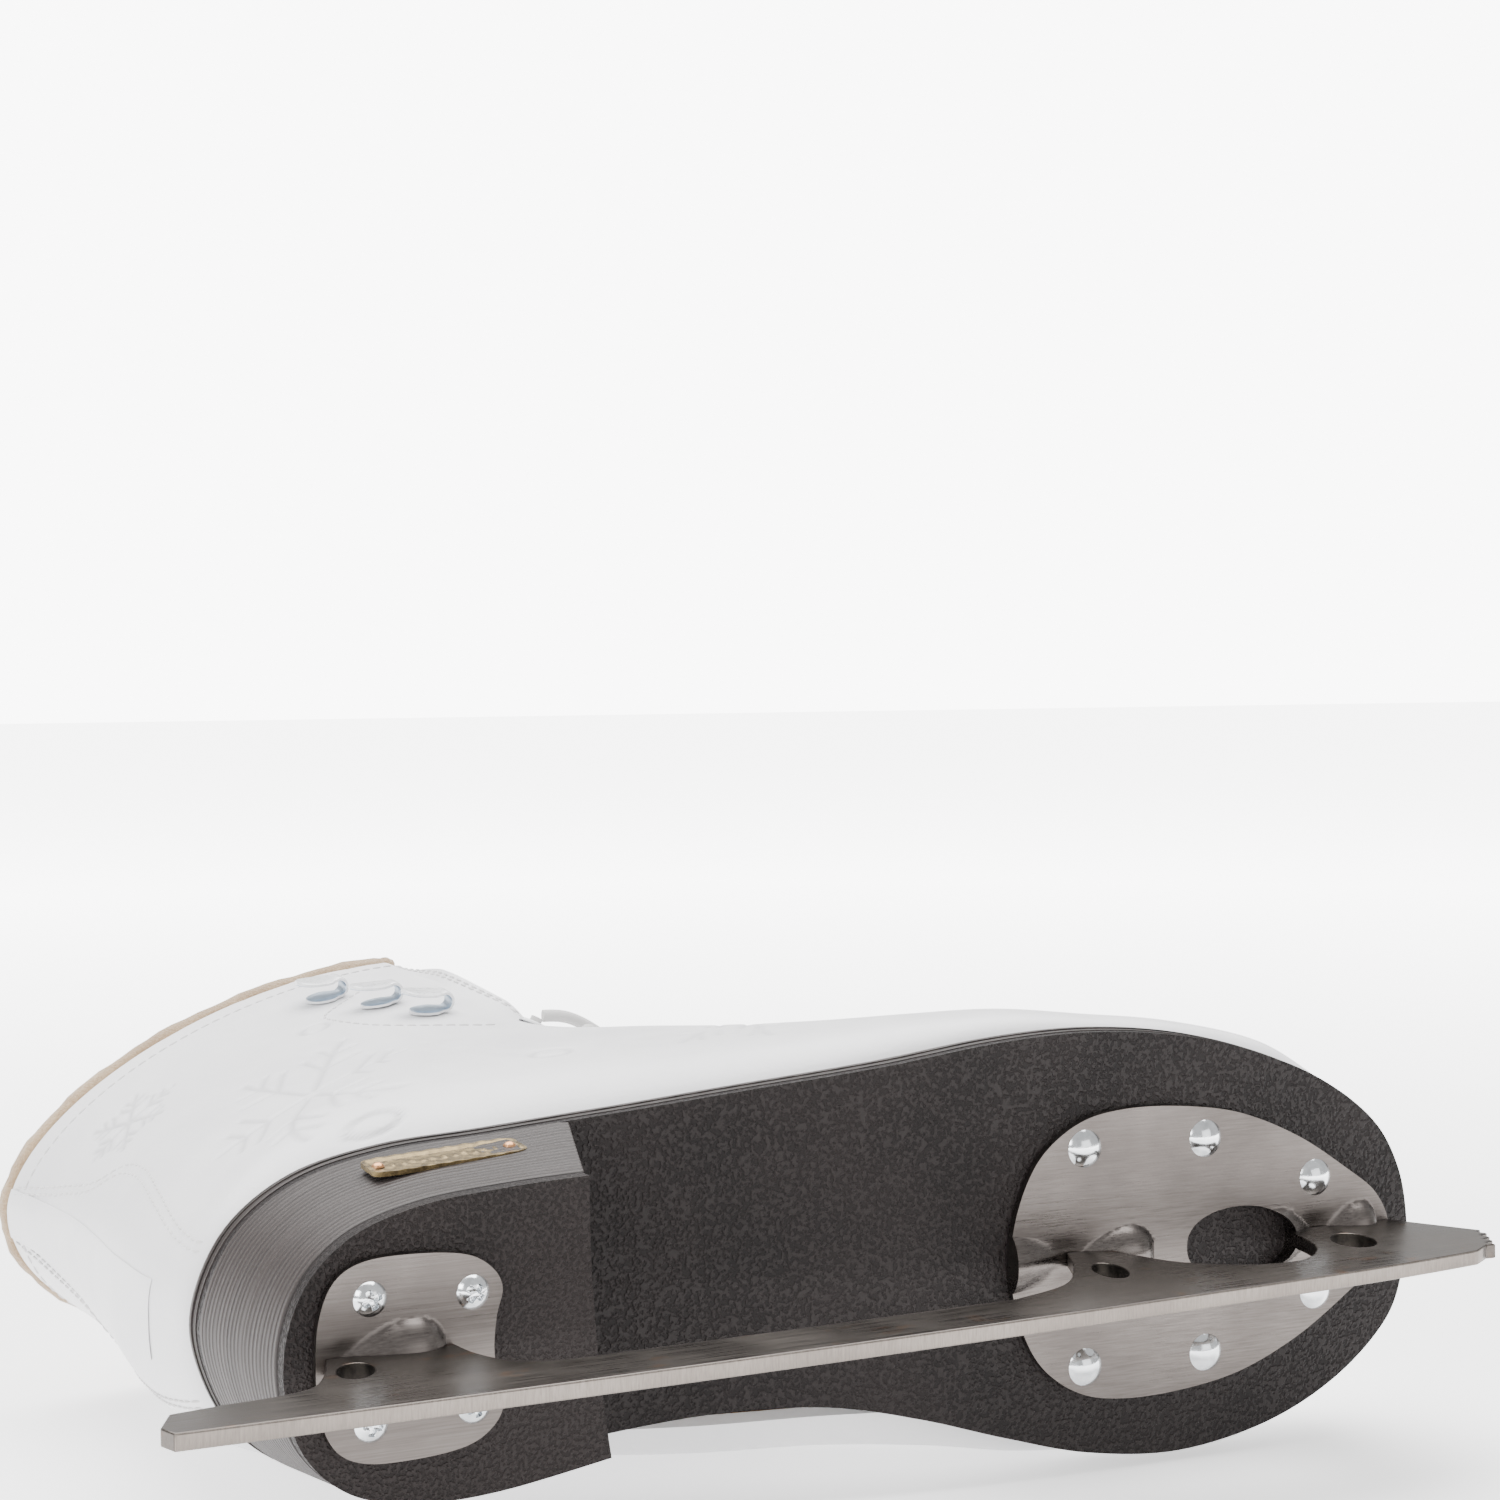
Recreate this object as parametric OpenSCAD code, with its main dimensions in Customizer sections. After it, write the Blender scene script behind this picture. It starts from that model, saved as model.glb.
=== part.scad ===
// Figure skate for the right foot, lying on its inner side.
// X runs from heel to toe, Y from the blade's running edge up the shaft, Z up to the outer side.

/* [Blade] */
// Thickness of the runner
blade_t = 3.2; // [2.8:0.1:4]
// Height of the runner
runner_h = 15.6; // [12:0.2:18]
// Radius of the running edge's long curve
rocker_r = 3550; // [2000:50:4500]
// Thickness of the steel sole and heel plates
plate_t = 2; // [1.6:0.1:2.6]
// Rivet head diameter
rivet_d = 8.2; // [6:0.2:10]
// Screw head diameter
screw_d = 6.6; // [5:0.2:8]

/* [Sole] */
// Thickness of the outsole
outsole_t = 2.4; // [2:0.1:3]
// Thickness of the midsole
midsole_t = 2; // [1.6:0.1:3]
// Thickness of the welt
welt_t = 1.4; // [1:0.1:2]
// How far the seat stands above the forepart's line
seat_rise = 12.5; // [8:0.5:16]
// Layers in the heel stack
heel_layers = 9; // [5:1:12]
// Thickness of the heel's top lift
lift_t = 3.6; // [2:0.2:5]

/* [Upper] */
// Thickness of the leather
leather_t = 2.2; // [1.6:0.1:3]
// Thickness of the fleece lining
lining_t = 2.5; // [2:0.1:4]
// Diameter of the lace
lace_d = 3; // [2.6:0.2:4]
// Bore of the eyelets
eyelet_bore = 4.2; // [3.4:0.2:6]

/* [Hidden] */
$fn = 32;

// The object's box, which puts the origin at its bottom centre
tail_x = -94.6;
front_x = 209.4;
top_y = 243.6;
floor_z = -47.6;
module lie() translate([-(tail_x + front_x) / 2, -top_y / 2, -floor_z]) children();

// Smooth curves through points
function cr(a, b, c, d, k) =
    0.5 * (2 * b + (c - a) * k + (2 * a - 5 * b + 4 * c - d) * k * k + (3 * b - a - 3 * c + d) * k * k * k);
function closed_curve(p, m) =
    let (n = len(p))
    [for (i = [0:n - 1], j = [0:m - 1]) cr(p[(i + n - 1) % n], p[i], p[(i + 1) % n], p[(i + 2) % n], j / m)];
function open_curve(p, m) =
    let (n = len(p) - 1)
    [for (i = [0:n - 1], j = [0:(i == n - 1 ? m : m - 1)])
        cr(p[max(i - 1, 0)], p[i], p[i + 1], p[min(i + 2, n)], j / m)];
function inset(p, d) =
    let (n = len(p))
    [for (i = [0:n - 1])
        let (t = p[(i + 1) % n] - p[(i + n - 1) % n], u = t / norm(t)) p[i] + d * [u[1], -u[0]]];
function ramp(v) = let (k = min(max(v, 0), 1)) k * k * (3 - 2 * k);
function bulge(v, p) = sign(v) * pow(abs(v), p);

// An outline in X and Z, given a height in Y
module slab(y0, h) translate([0, y0 + h, 0]) rotate([90, 0, 0]) linear_extrude(h) children();

// Side view of the sole
plate_x = 150.5;
plate_y = 45.85;
plate_slope = -0.0623;
plate_tilt = atan(plate_slope);
seat_y = 36.5;
waist_x = 95;
waist_len = 90;
sole_t = outsole_t + midsole_t + welt_t;
// Air left between parts that lie against each other
gap = 0.02;
// The plate's thickness, measured straight up through its slope
plate_rise = plate_t / cos(plate_tilt) + gap;
function sole_y(x) =
    plate_y + plate_rise + plate_slope * (x - plate_x) + seat_rise * ramp((waist_x - x) / waist_len);
function sole_top(x) = sole_y(x) + sole_t;
sole_xs = [for (x = [-75:10:215]) x];
module band(y0, y1)
    translate([0, 0, -60]) linear_extrude(120)
        polygon(concat([for (x = sole_xs) [x, sole_y(x) + y0]],
                       [for (i = [len(sole_xs) - 1:-1:0]) [sole_xs[i], sole_y(sole_xs[i]) + y1]]));

sole_pts = [[206.6, 0.5], [204.2, 13], [197.2, 24.5], [183, 34.8], [165.5, 42], [145, 47], [122, 49], [98, 47.8],
            [74, 44.4], [48, 41], [20, 37.4], [-8, 34.8], [-30, 33], [-48, 28.4], [-61, 18.8], [-67.6, 5],
            [-67, -7], [-60, -21], [-47, -30.2], [-28, -33.6], [-8, -33.2], [15, -30], [40, -27.5],
            [62, -27.8], [82, -32], [102, -38.2], [122, -43.6], [145, -45.8], [168.5, -42], [187.5, -33.5],
            [201.2, -21.4], [205.9, -8.5]];
module sole_layer(y0, y1, edge)
    intersection() {
        slab(30, 60) polygon(inset(closed_curve(sole_pts, 3), -edge));
        band(y0, y1);
    }

// Rivets and screws, as X and half the distance across
rivets = [[119.9, 23.7], [150.5, 23.7], [179.5, 12.8]];
screws = [[-46.4, 11.7], [-26, 10.8]];
module at_plate() translate([plate_x, plate_y, 0]) rotate([0, 0, plate_tilt]) children();
module each_rivet() at_plate()
    for (r = rivets, s = [-1, 1]) translate([r[0] - plate_x, 0, s * r[1]]) children();
module each_screw() for (r = screws, s = [-1, 1]) translate([r[0], seat_y, s * r[1]]) children();
// A round bar along Y from y0
module pin(y0, h, r) translate([0, y0, 0]) rotate([-90, 0, 0]) cylinder(h = h, r = r);

module outsole() color("#3b3234") lie() difference() {
    sole_layer(0, outsole_t, 1.2);
    each_rivet() pin(-1, 12, 2);
}
module midsole() color("#8a7d78") lie() difference() {
    sole_layer(outsole_t, outsole_t + midsole_t, 0.6);
    each_rivet() pin(-1, 12, 2);
}
module welt() color("#978a84") lie() difference() {
    sole_layer(outsole_t + midsole_t, sole_t, 0);
    each_rivet() pin(-1, 14, 2);
}

// Heel, from the lift's outline to the seat's
heel_low = [[-6, 29.8], [-20, 29.2], [-36, 27.5], [-50, 22.5], [-59, 13], [-62.3, -0.5], [-59.3, -15],
            [-50, -24.6], [-36, -28.2], [-20, -28.2], [3, -25]];
heel_high = [[5, 33], [-12, 33.2], [-32, 31.2], [-50, 26], [-62, 16], [-66.8, 0], [-62, -16.5],
             [-48, -27.5], [-30, -31.6], [-10, -31], [9, -28.6]];
heel_breast_z = 0;
function heel_outline(v) =
    let (p = heel_low + v * (heel_high - heel_low), a = p[0], b = p[len(p) - 1])
    concat(open_curve(p, 3), [[(a[0] + b[0]) / 2 - 1.2, heel_breast_z]]);
heel_y0 = seat_y + plate_t;
heel_y1 = 76;
function heel_v(y) = (y - heel_y0) / (heel_y1 - heel_y0);
module heel_lift() color("#37302f") lie() difference() {
    slab(heel_y0, lift_t) polygon(heel_outline(heel_v(heel_y0 + lift_t / 2)));
    each_screw() pin(-1, 30, 1.6);
}
module heel_stack() color("#7d716c") lie()
    let (y0 = heel_y0 + lift_t, h = (heel_y1 - y0) / heel_layers)
        difference() {
            intersection() {
                union() for (i = [0:heel_layers - 1])
                    slab(y0 + i * h - (i > 0 ? gap : 0), h + gap) polygon(heel_outline(heel_v(y0 + (i + 0.5) * h)));
                band(-60, 0);
            }
            each_screw() pin(-1, 22, 1.6);
        }

// The nameplate lies on the heel's outer side
name_l = 33;
name_h = 9.5;
name_t = 1;
module at_name() translate([-22, 61, 32.1]) rotate([0, -3, 3]) rotate([-7, 0, 0]) children();
module nameplate() color("#8d7748") lie() at_name() difference() {
    translate([0, 0, name_t / 2]) cube([name_l, name_h, name_t], center = true);
    for (s = [-1, 1]) translate([s * (name_l / 2 - 2.4), 0, -1]) cylinder(h = 4, r = 0.8);
}
module nameplate_pins() color("#a58d58") lie() at_name() for (s = [-1, 1])
    translate([s * (name_l / 2 - 2.4), 0, 0]) {
        cylinder(h = name_t, r = 0.8);
        translate([0, 0, name_t]) cylinder(h = 0.6, r1 = 1.5, r2 = 0.9);
    }

// Inner sole; an edge says how far in from the sole's outline a layer stops
shank_w = 13;
shank_t = 1.4;
board_t = 2.2;
board_edge = 13;
footbed_edge = 15;
footbed_low = 7.6;
footbed_t = 2.6;
module shank() color("#9a9da0") lie() intersection() {
    translate([-35, 40, -shank_w / 2]) cube([115, 60, shank_w]);
    band(sole_t, sole_t + shank_t);
}
module insole_board() color("#b39b74") lie() difference() {
    sole_layer(sole_t, sole_t + board_t, board_edge);
    intersection() {
        translate([-35, 40, -shank_w / 2]) cube([115, 60, shank_w]);
        band(sole_t, sole_t + shank_t);
    }
    each_rivet() pin(-1, 12, 2);
}
module footbed() color("#d8c7a6") lie()
    sole_layer(sole_t + footbed_low, sole_t + footbed_low + footbed_t, footbed_edge);

// Steel plates
plate_half = [[101.5, 0], [103.5, 12], [109, 22.5], [118.5, 29.3], [130, 31.6], [145, 31.2], [160, 28.6],
              [175, 22.4], [188, 14.2], [196, 8], [199.5, 0]];
heel_half = [[-57, 0], [-56.3, 9], [-53.2, 15.8], [-47, 18.9], [-36, 19.2], [-27, 18], [-22, 15],
             [-20, 11], [-21.2, 6], [-21.8, 0]];
function both(p) = concat(p, [for (i = [len(p) - 2:-1:1]) [p[i][0], -p[i][1]]]);
window_x = 159.3;
window_a = 13.6;
window_b = 8;
// A raised pillow, round at both ends, on the plate's outer face
pillow_r = 5.5;
module pillow(x, l) translate([x - l / 2, 1.8, 0]) {
    rotate([0, 90, 0]) cylinder(h = l, r = pillow_r);
    for (s = [0, l]) translate([s, 0, 0]) sphere(r = pillow_r);
}
module under(l) translate([-l / 2, -20, -20]) cube([l, 20.01, 40]);
module sole_plate() color("#a39d99") lie() at_plate() difference() {
    union() {
        slab(0, plate_t) polygon([for (p = closed_curve(both(plate_half), 3)) p - [plate_x, 0]]);
        intersection() {
            union() {
                pillow(127.5 - plate_x, 8);
                pillow(189 - plate_x, 3);
            }
            under(400);
        }
    }
    slab(-10, 20) polygon([for (a = [0:12:348]) [window_x - plate_x + window_a * cos(a), window_b * sin(a)]]);
    for (r = rivets, s = [-1, 1]) translate([r[0] - plate_x, 0, s * r[1]]) pin(-1, 4, 2);
    translate([-80, -20, -blade_t / 2]) cube([160, 20, blade_t]);
}
module heel_plate() color("#a39d99") lie() translate([0, seat_y, 0]) difference() {
    union() {
        slab(0, plate_t) polygon(closed_curve(both(heel_half), 3));
        intersection() {
            pillow(-42, 9);
            under(400);
        }
    }
    for (r = screws, s = [-1, 1]) translate([r[0], 0, s * r[1]]) pin(-1, 4, 1.6);
    translate([-80, -20, -blade_t / 2]) cube([160, 20, blade_t]);
}
module sole_rivets() color("#c9ccd0") lie() each_rivet() {
    pin(0, plate_t + sole_t, 2);
    intersection() {
        translate([0, 5, 0]) sphere(r = norm([5, rivet_d / 2]), $fn = 32);
        translate([-9, -9, -9]) cube([18, 9, 18]);
    }
}
module heel_screws() color("#c9ccd0") lie() each_screw() difference() {
    union() {
        pin(0, 18, 1.6);
        intersection() {
            translate([0, 3.4, 0]) sphere(r = norm([3.4, screw_d / 2]), $fn = 32);
            translate([-9, -9, -9]) cube([18, 9, 18]);
        }
    }
    for (a = [0, 90]) rotate([0, a, 0]) translate([-1.7, -2.6, -0.4]) cube([3.4, 2.2, 0.8]);
}

// Blade: running edge, tail, three legs and toe pick
edge_mid = -8;
front_rocker_x = 150;
front_rocker_r = 600;
function edge_y(x) =
    pow(x - edge_mid, 2) / (2 * rocker_r) + pow(max(x - front_rocker_x, 0), 2) / (2 * front_rocker_r);
function face_y(x) = plate_y + plate_slope * (x - plate_x);
pick_teeth = 4;
module blade_outline() difference() {
    polygon(concat(
        [for (x = [-93.4:8:194]) [x, edge_y(x)]],
        [[197, 9.2], [199.5, 11]],
        [for (i = [0:pick_teeth - 1], s = [0, 1]) [202 + 2.1 * i - s * 0.9, 10.6 + 3.2 * i + s * 2.4]],
        [[209.4, 23.6], [203.5, 35], [199.5, face_y(199.5)], [171.5, face_y(171.5)]],
        open_curve([[171.5, face_y(171.5)], [166.5, 28], [157, 19], [147, 18.4], [138, 22.6], [130, 31],
                    [125, face_y(125)]], 4),
        open_curve([[115.5, face_y(115.5)], [109, 36], [98, 23], [82, 16.6]], 4),
        [for (x = [70:-14:-14]) [x, edge_y(x) + runner_h]],
        open_curve([[-19, 16.4], [-25.5, 20], [-29, 28], [-30, seat_y]], 4),
        open_curve([[-55, seat_y], [-59, 26], [-64, 18.4], [-72, 15.6]], 4),
        [[-82, 14.8], [-90.8, 13.4], [-94.6, 5.4]]));
    for (h = [[113.5, 29, 3.6, 7], [177.5, 28.5, 5, 7], [-53, 26, 3.6, 5.5]])
        polygon([for (a = [0:15:345]) [h[0] + h[2] * cos(a) + 0.25 * h[3] * sin(a), h[1] + h[3] * sin(a)]]);
}
module blade() color("#8f8a87") lie() translate([0, 0, -blade_t / 2]) linear_extrude(blade_t) blade_outline();

// The upper is one smooth skin through these cross-sections, from the toe to the top of the cuff.
// Each holds the front or top point's X and Y, the rear or sole point's X and Y, the half width on the
// outer and the inner side, where between the points it is widest, and how square it is: front, rear
// on the outer side, rear on the inner side.
function low(x) = sole_top(x) + 0.3;
SECTIONS = [
    [208.6, 61, 208.4, 60, 0.8, 0.8, 0.5, 2, 2, 2],
    [206.6, 70, 206.8, low(206.8), 17, 15.4, 0.55, 2.2, 3, 3],
    [201, 77.5, 201.5, low(201.5), 26.4, 24.6, 0.6, 2.3, 3.6, 3.6],
    [190.5, 82.5, 190.5, low(190.5), 33.4, 32, 0.62, 2.3, 4.2, 4.2],
    [176, 86, 175.5, low(175.5), 42, 38.5, 0.64, 2.3, 4.5, 4.5],
    [157, 90, 155, low(155), 47, 44, 0.65, 2.3, 4.5, 4.5],
    [138, 95.5, 133, low(133), 49.6, 46.6, 0.66, 2.3, 4.5, 4.5],
    [121, 102.5, 111, low(111), 51.5, 45.6, 0.65, 2.3, 4.5, 4.5],
    [106, 111.5, 88, low(88), 50.8, 42.4, 0.62, 2.3, 4.5, 4.5],
    [92.5, 122.5, 63, low(63), 48.6, 41.8, 0.48, 2.2, 4.4, 4.4],
    [80.5, 135, 36, low(36), 46.8, 43.2, 0.38, 2.2, 4.2, 4.2],
    [70, 147.5, 8, low(8), 45.8, 43.4, 0.3, 2.1, 3.8, 3.8],
    [61.5, 159.5, -26, low(-26), 44.8, 41.8, 0.25, 2.1, 3.2, 3.2],
    [54.5, 170.5, -62, low(-62), 44.4, 42.6, 0.18, 2.1, 2.5, 2.9],
    [49, 180.5, -70.5, 93, 45.2, 42.4, 0.14, 2.1, 2, 2.8],
    [45, 190, -71.5, 121, 46.4, 42.2, 0.12, 2.1, 1.9, 2.7],
    [42, 199.5, -69.5, 148, 47.8, 42, 0.11, 2.1, 1.8, 2.5],
    [40, 209, -68.5, 173, 48.5, 42, 0.1, 2.1, 1.75, 2.4],
    [38.5, 220, -70, 197, 50.2, 42.2, 0.1, 2.1, 1.7, 2.3],
    [37.5, 233, -73.5, 219, 52.6, 42.8, 0.1, 2.1, 1.68, 2.05]];
last = len(SECTIONS) - 1;
function section(t) =
    let (i = min(floor(t), last - 1))
    cr(SECTIONS[max(i - 1, 0)], SECTIONS[i], SECTIONS[i + 1], SECTIONS[min(i + 2, last)], t - i);

// Angle from the front of the section at which the eyestay ends, and where the sides end underneath
throat_t = 8.7;
function eyestay(t) = 24 + 52 * ramp((t - throat_t) / 8);
// The front edges of the shaft curl outwards
flare_out = 6;
flare_in = 2;
flare_span = 34;
function flare(t, phi) =
    ramp((t - 12.8) / 1.5) * (1 - 0.95 * ramp((t - 16.5) / 2.5)) * (phi > 0 ? flare_out : flare_in) *
    pow(min(max(1 - (abs(phi) - eyestay(t)) / flare_span, 0), 1), 2);
function underside(t) = 148 + 32 * ramp((t - 12) / 1.6);

// A point of the skin: place along the boot, angle round it, depth below the outside
function skin(t, angle, d) =
    let (phi = angle > 180 ? angle - 360 : angle,
         s = section(t), n = [s[0], s[1]], f = [s[2], s[3]], l = norm(f - n), e = (f - n) / l,
         co = cos(phi), si = sin(phi), q = co >= 0 ? s[7] : si >= 0 ? s[8] : s[9],
         run = co >= 0 ? s[6] * l : (1 - s[6]) * l, w = si >= 0 ? s[4] : s[5],
         c = n + e * s[6] * l - e * (max(run - d, 0.2)) * bulge(co, 2 / q))
    [c[0], c[1], max(w - d, 0.2) * bulge(si, 2 / q) + sign(phi) * (abs(phi) <= 150 ? flare(t, phi) : 0)];

// A closed solid between two grids of points
module solid(g) {
    nt = len(g[0]) - 1;
    np = len(g[0][0]) - 1;
    m = np + 1;
    k = (nt + 1) * m;
    faces = concat(
        [for (i = [0:nt - 1], j = [0:np - 1])
            let (a = i * m + j) each [[a, a + 1, a + m], [a + 1, a + m + 1, a + m]]],
        [for (i = [0:nt - 1], j = [0:np - 1])
            let (a = k + i * m + j) each [[a, a + m, a + 1], [a + 1, a + m, a + m + 1]]],
        [for (j = [0:np - 1])
            let (b = nt * m + j) each [[j, k + j, j + 1], [j + 1, k + j, k + j + 1],
                                       [b, b + 1, k + b], [b + 1, k + b + 1, k + b]]],
        [for (i = [0:nt - 1])
            let (a = i * m, b = i * m + np) each [[a, a + m, k + a], [a + m, k + a + m, k + a],
                                                  [b, k + b, b + m], [b + m, k + b, k + b + m]]]);
    polyhedron(points = [for (layer = g, row = layer, p = row) p], faces = faces);
}
// A panel of the skin between two depths, over nt steps along and np steps round
module panel(t0, t1, nt, pa, pb, np, d0, d1)
    solid([for (d = [d0, d1]) [for (i = [0:nt])
        let (t = t0 + (t1 - t0) * i / nt) [for (j = [0:np]) skin(t, pa(t) + (pb(t) - pa(t)) * j / np, d)]]]);

// Depth of the lining, and the air between it, the leather and what lies between them
lining_d = leather_t + 1.5;
layer_gap = 0.4;
// The counter stays further from the leather, which curves sharply round the heel
counter_gap = 0.7;
module vamp() color("#ecebed") lie()
    panel(0, throat_t, 18, function(t) -148, function(t) 148, 26, 0, leather_t);
module toe_puff() color("#cdbfa5") lie()
    panel(0.8, 4, 10, function(t) -132, function(t) 132, 30, leather_t + layer_gap, lining_d - layer_gap);
module vamp_lining() color("#e4d6bb") lie()
    panel(1, throat_t - 0.05, 14, function(t) -170, function(t) 170, 24, lining_d, lining_d + lining_t);
module quarter_lateral() color("#ecebed") lie()
    panel(throat_t + 0.02, last, 20, function(t) eyestay(t), function(t) underside(t), 14, 0, leather_t);
module quarter_medial() color("#ecebed") lie()
    panel(throat_t + 0.02, last, 20, function(t) -underside(t), function(t) -eyestay(t), 14, 0, leather_t);
module heel_counter() color("#cdbfa5") lie()
    panel(13.3, 16, 12, function(t) 118, function(t) 242, 32, leather_t + counter_gap, lining_d - layer_gap / 2);
module backstay() color("#ecebed") lie()
    panel(13.6, last - 0.1, 16, function(t) 172, function(t) 188, 4, -1.2, -0.2);
module quarter_lining() color("#e4d6bb") lie()
    panel(throat_t + 0.05, last, 18, function(t) eyestay(t) + 3, function(t) 357 - eyestay(t), 30,
          lining_d, lining_d + lining_t);
module collar_pad() color("#dccba9") lie()
    panel(16.4, last, 6, function(t) eyestay(t) + 8, function(t) 352 - eyestay(t), 26,
          leather_t + layer_gap, lining_d - layer_gap);
module facing_lateral() color("#ecebed") lie()
    panel(throat_t + 0.3, 16, 12, function(t) eyestay(t) + 1, function(t) eyestay(t) + 14, 3,
          leather_t + layer_gap, lining_d - layer_gap);
module facing_medial() color("#ecebed") lie()
    panel(throat_t + 0.3, 16, 12, function(t) -eyestay(t) - 14, function(t) -eyestay(t) - 1, 3,
          leather_t + layer_gap, lining_d - layer_gap);

// The tongue fills the throat from inside; its flap folds forward above the lacing.
// q runs across it from -1 to 1
tongue_d = 9.1;
tongue_t = 4;
tongue_lining_t = 2;
tongue_arc = 75;
tongue_steps = 8;
tongue_end = 20;
fold_t = 13.9;
function near(t) =
    let (n = section(min(t, last)), m = section(last - 0.5))
    [n[0], n[1]] + max(t - last, 0) * 2 * ([n[0], n[1]] - [m[0], m[1]]);
function inward(t) =
    let (s = section(min(t, last)), e = [s[2] - s[0], s[3] - s[1]]) e / norm(e);
function tongue_half(t) = 15 + 18 * ramp((t - 8) / 6) - 9 * pow(max(t - 18.6, 0) / 1.4, 2);
function tongue_hollow(t) = 5 + 9 * ramp((t - 8) / 5);
function tongue(t, q, d) =
    let (n = near(t), e = inward(t), a = tongue_arc * q,
         c = n + e * (tongue_d + d + tongue_hollow(t) * (1 - cos(a)) / (1 - cos(tongue_arc))))
    [c[0], c[1], (tongue_half(t) - d * abs(sin(a)) * 0.6) * sin(a) / sin(tongue_arc)];
module tongue_piece(t0, t1, nt, d0, d1)
    solid([for (d = [d0, d1]) [for (i = [0:nt])
        [for (j = [0:tongue_steps]) tongue(t0 + (t1 - t0) * i / nt, 1 - 2 * j / tongue_steps, d)]]]);
module tongue_base() color("#e9e8ea") lie() tongue_piece(throat_t - 0.9, fold_t - 0.06, 10, 0, tongue_t);
module tongue_base_lining() color("#e4d6bb") lie()
    tongue_piece(throat_t - 0.8, fold_t - 0.06, 10, tongue_t + 0.05, tongue_t + tongue_lining_t);
module tongue_flap() color("#e9e8ea") lie() tongue_piece(fold_t + 0.06, tongue_end, 10, 0, tongue_t);
module tongue_flap_lining() color("#e4d6bb") lie()
    tongue_piece(fold_t + 0.06, tongue_end - 0.1, 10, tongue_t + 0.05, tongue_t + tongue_lining_t);

// Frame on the skin: place, outward normal, along the boot, round it
function frame_at(t, phi, d) =
    let (p = skin(t, phi, d), u = skin(t + 0.05, phi, d) - skin(t - 0.05, phi, d),
         v = skin(t, phi + 1, d) - skin(t, phi - 1, d), n = cross(u, v), nn = n / norm(n), uu = u / norm(u),
         vv = cross(nn, uu))
    [p, nn, uu, vv];
// Children stand on the skin with +Z outward and +X up the shaft
module on_skin(t, phi, d) {
    f = frame_at(t, phi, d);
    multmatrix([[f[2][0], f[3][0], f[1][0], f[0][0]],
                [f[2][1], f[3][1], f[1][1], f[0][1]],
                [f[2][2], f[3][2], f[1][2], f[0][2]],
                [0, 0, 0, 1]]) children();
}

// Eyelets and hooks
eyelet_ts = [9.4, 10.3, 11.2, 12.15, 13.1];
hook_at = [[15, 99], [16.2, 104], [17.6, 109]];
eyelet_r = 4;
skin_stack = lining_d + lining_t;
function eyelet_phi(t) = eyestay(t) + 20;
module eyelets(s) for (t = eyelet_ts) on_skin(t, s * eyelet_phi(t), 0) rotate_extrude()
    polygon([[eyelet_bore / 2, -leather_t - 1], [eyelet_bore / 2 + 0.5, -leather_t - 1],
             [eyelet_bore / 2 + 0.5, 0.05], [eyelet_r, 0.05], [eyelet_r - 0.5, 0.6],
             [eyelet_r - 1, 0.8], [eyelet_bore / 2 + 0.3, 0.6], [eyelet_bore / 2, 0.2]]);
module eyelets_lateral() color("#e8e8ea") lie() eyelets(1);
module eyelets_medial() color("#e8e8ea") lie() eyelets(-1);

hook_w = 9;
hook_h = 5.4;
hook_t = 1.1;
hook_front = -4.4;
hook_back = 5.4;
module hook(i, s) on_skin(hook_at[i][0], s * hook_at[i][1], 0) rotate([0, 0, s > 0 ? 0 : 180]) {
    intersection() {
        translate([-hook_w / 2, 0, 0.05]) rotate([90, 0, 90]) linear_extrude(hook_w) {
            translate([hook_front, 0]) square([hook_back - hook_front - 2, hook_t]);
            translate([hook_front, hook_h - hook_t]) square([hook_back - hook_front, hook_t]);
            translate([hook_front, hook_h / 2]) difference() {
                circle(r = hook_h / 2);
                circle(r = hook_h / 2 - hook_t);
                translate([0, -hook_h]) square([hook_h, 2 * hook_h]);
            }
        }
        union() {
            translate([0, hook_back - hook_w / 2, -1]) cylinder(h = 12, r = hook_w / 2);
            translate([-hook_w / 2, -20 + hook_back - hook_w / 2, -1]) cube([hook_w, 20, 12]);
        }
    }
    translate([0, 0, -leather_t]) cylinder(h = leather_t + hook_t + 0.4, r = 1.5);
}
module hook_lateral_1() color("#ececee") lie() hook(0, 1);
module hook_lateral_2() color("#ececee") lie() hook(1, 1);
module hook_lateral_3() color("#ececee") lie() hook(2, 1);
module hook_medial_1() color("#ececee") lie() hook(0, -1);
module hook_medial_2() color("#ececee") lie() hook(1, -1);
module hook_medial_3() color("#ececee") lie() hook(2, -1);

// The lace: over the bottom pair, then out through each next eyelet on the other side
lace_r = lace_d / 2;
lace_out = lace_r + 0.5;
lace_in = skin_stack + lace_r + 0.3;
over_depth = [1.4, 5.7];
function outside(t, phi, h) = let (f = frame_at(t, phi, 0)) f[0] + h * f[1];
function front_point(t, d) = let (c = near(t) + d * inward(t)) [c[0], c[1], 0];
// From eyelet i on side s to eyelet i + 1 on the other; strand 0 crosses over strand 1
function crossing(i, s, strand) =
    let (a = eyelet_ts[i], b = eyelet_ts[i + 1])
    [outside(a, s * eyelet_phi(a), lace_out),
     outside(a + 0.12, s * (eyestay(a) + 1), lace_out),
     front_point((a + b) / 2, over_depth[strand]) + [0, 0, s * 5],
     front_point((a + b) / 2, over_depth[strand]) - [0, 0, s * 5],
     outside(b - 0.12, -s * (eyestay(b) + 1), -lace_in),
     outside(b, -s * eyelet_phi(b), -lace_in)];
function strand(s, n) =
    [for (i = [0:len(eyelet_ts) - 2]) each crossing(i, (i % 2 == 0 ? s : -s), (i % 2 == 0 ? n : 1 - n))];
function last_out(s) =
    let (t = eyelet_ts[len(eyelet_ts) - 1]) outside(t, s * eyelet_phi(t), lace_out);
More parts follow.
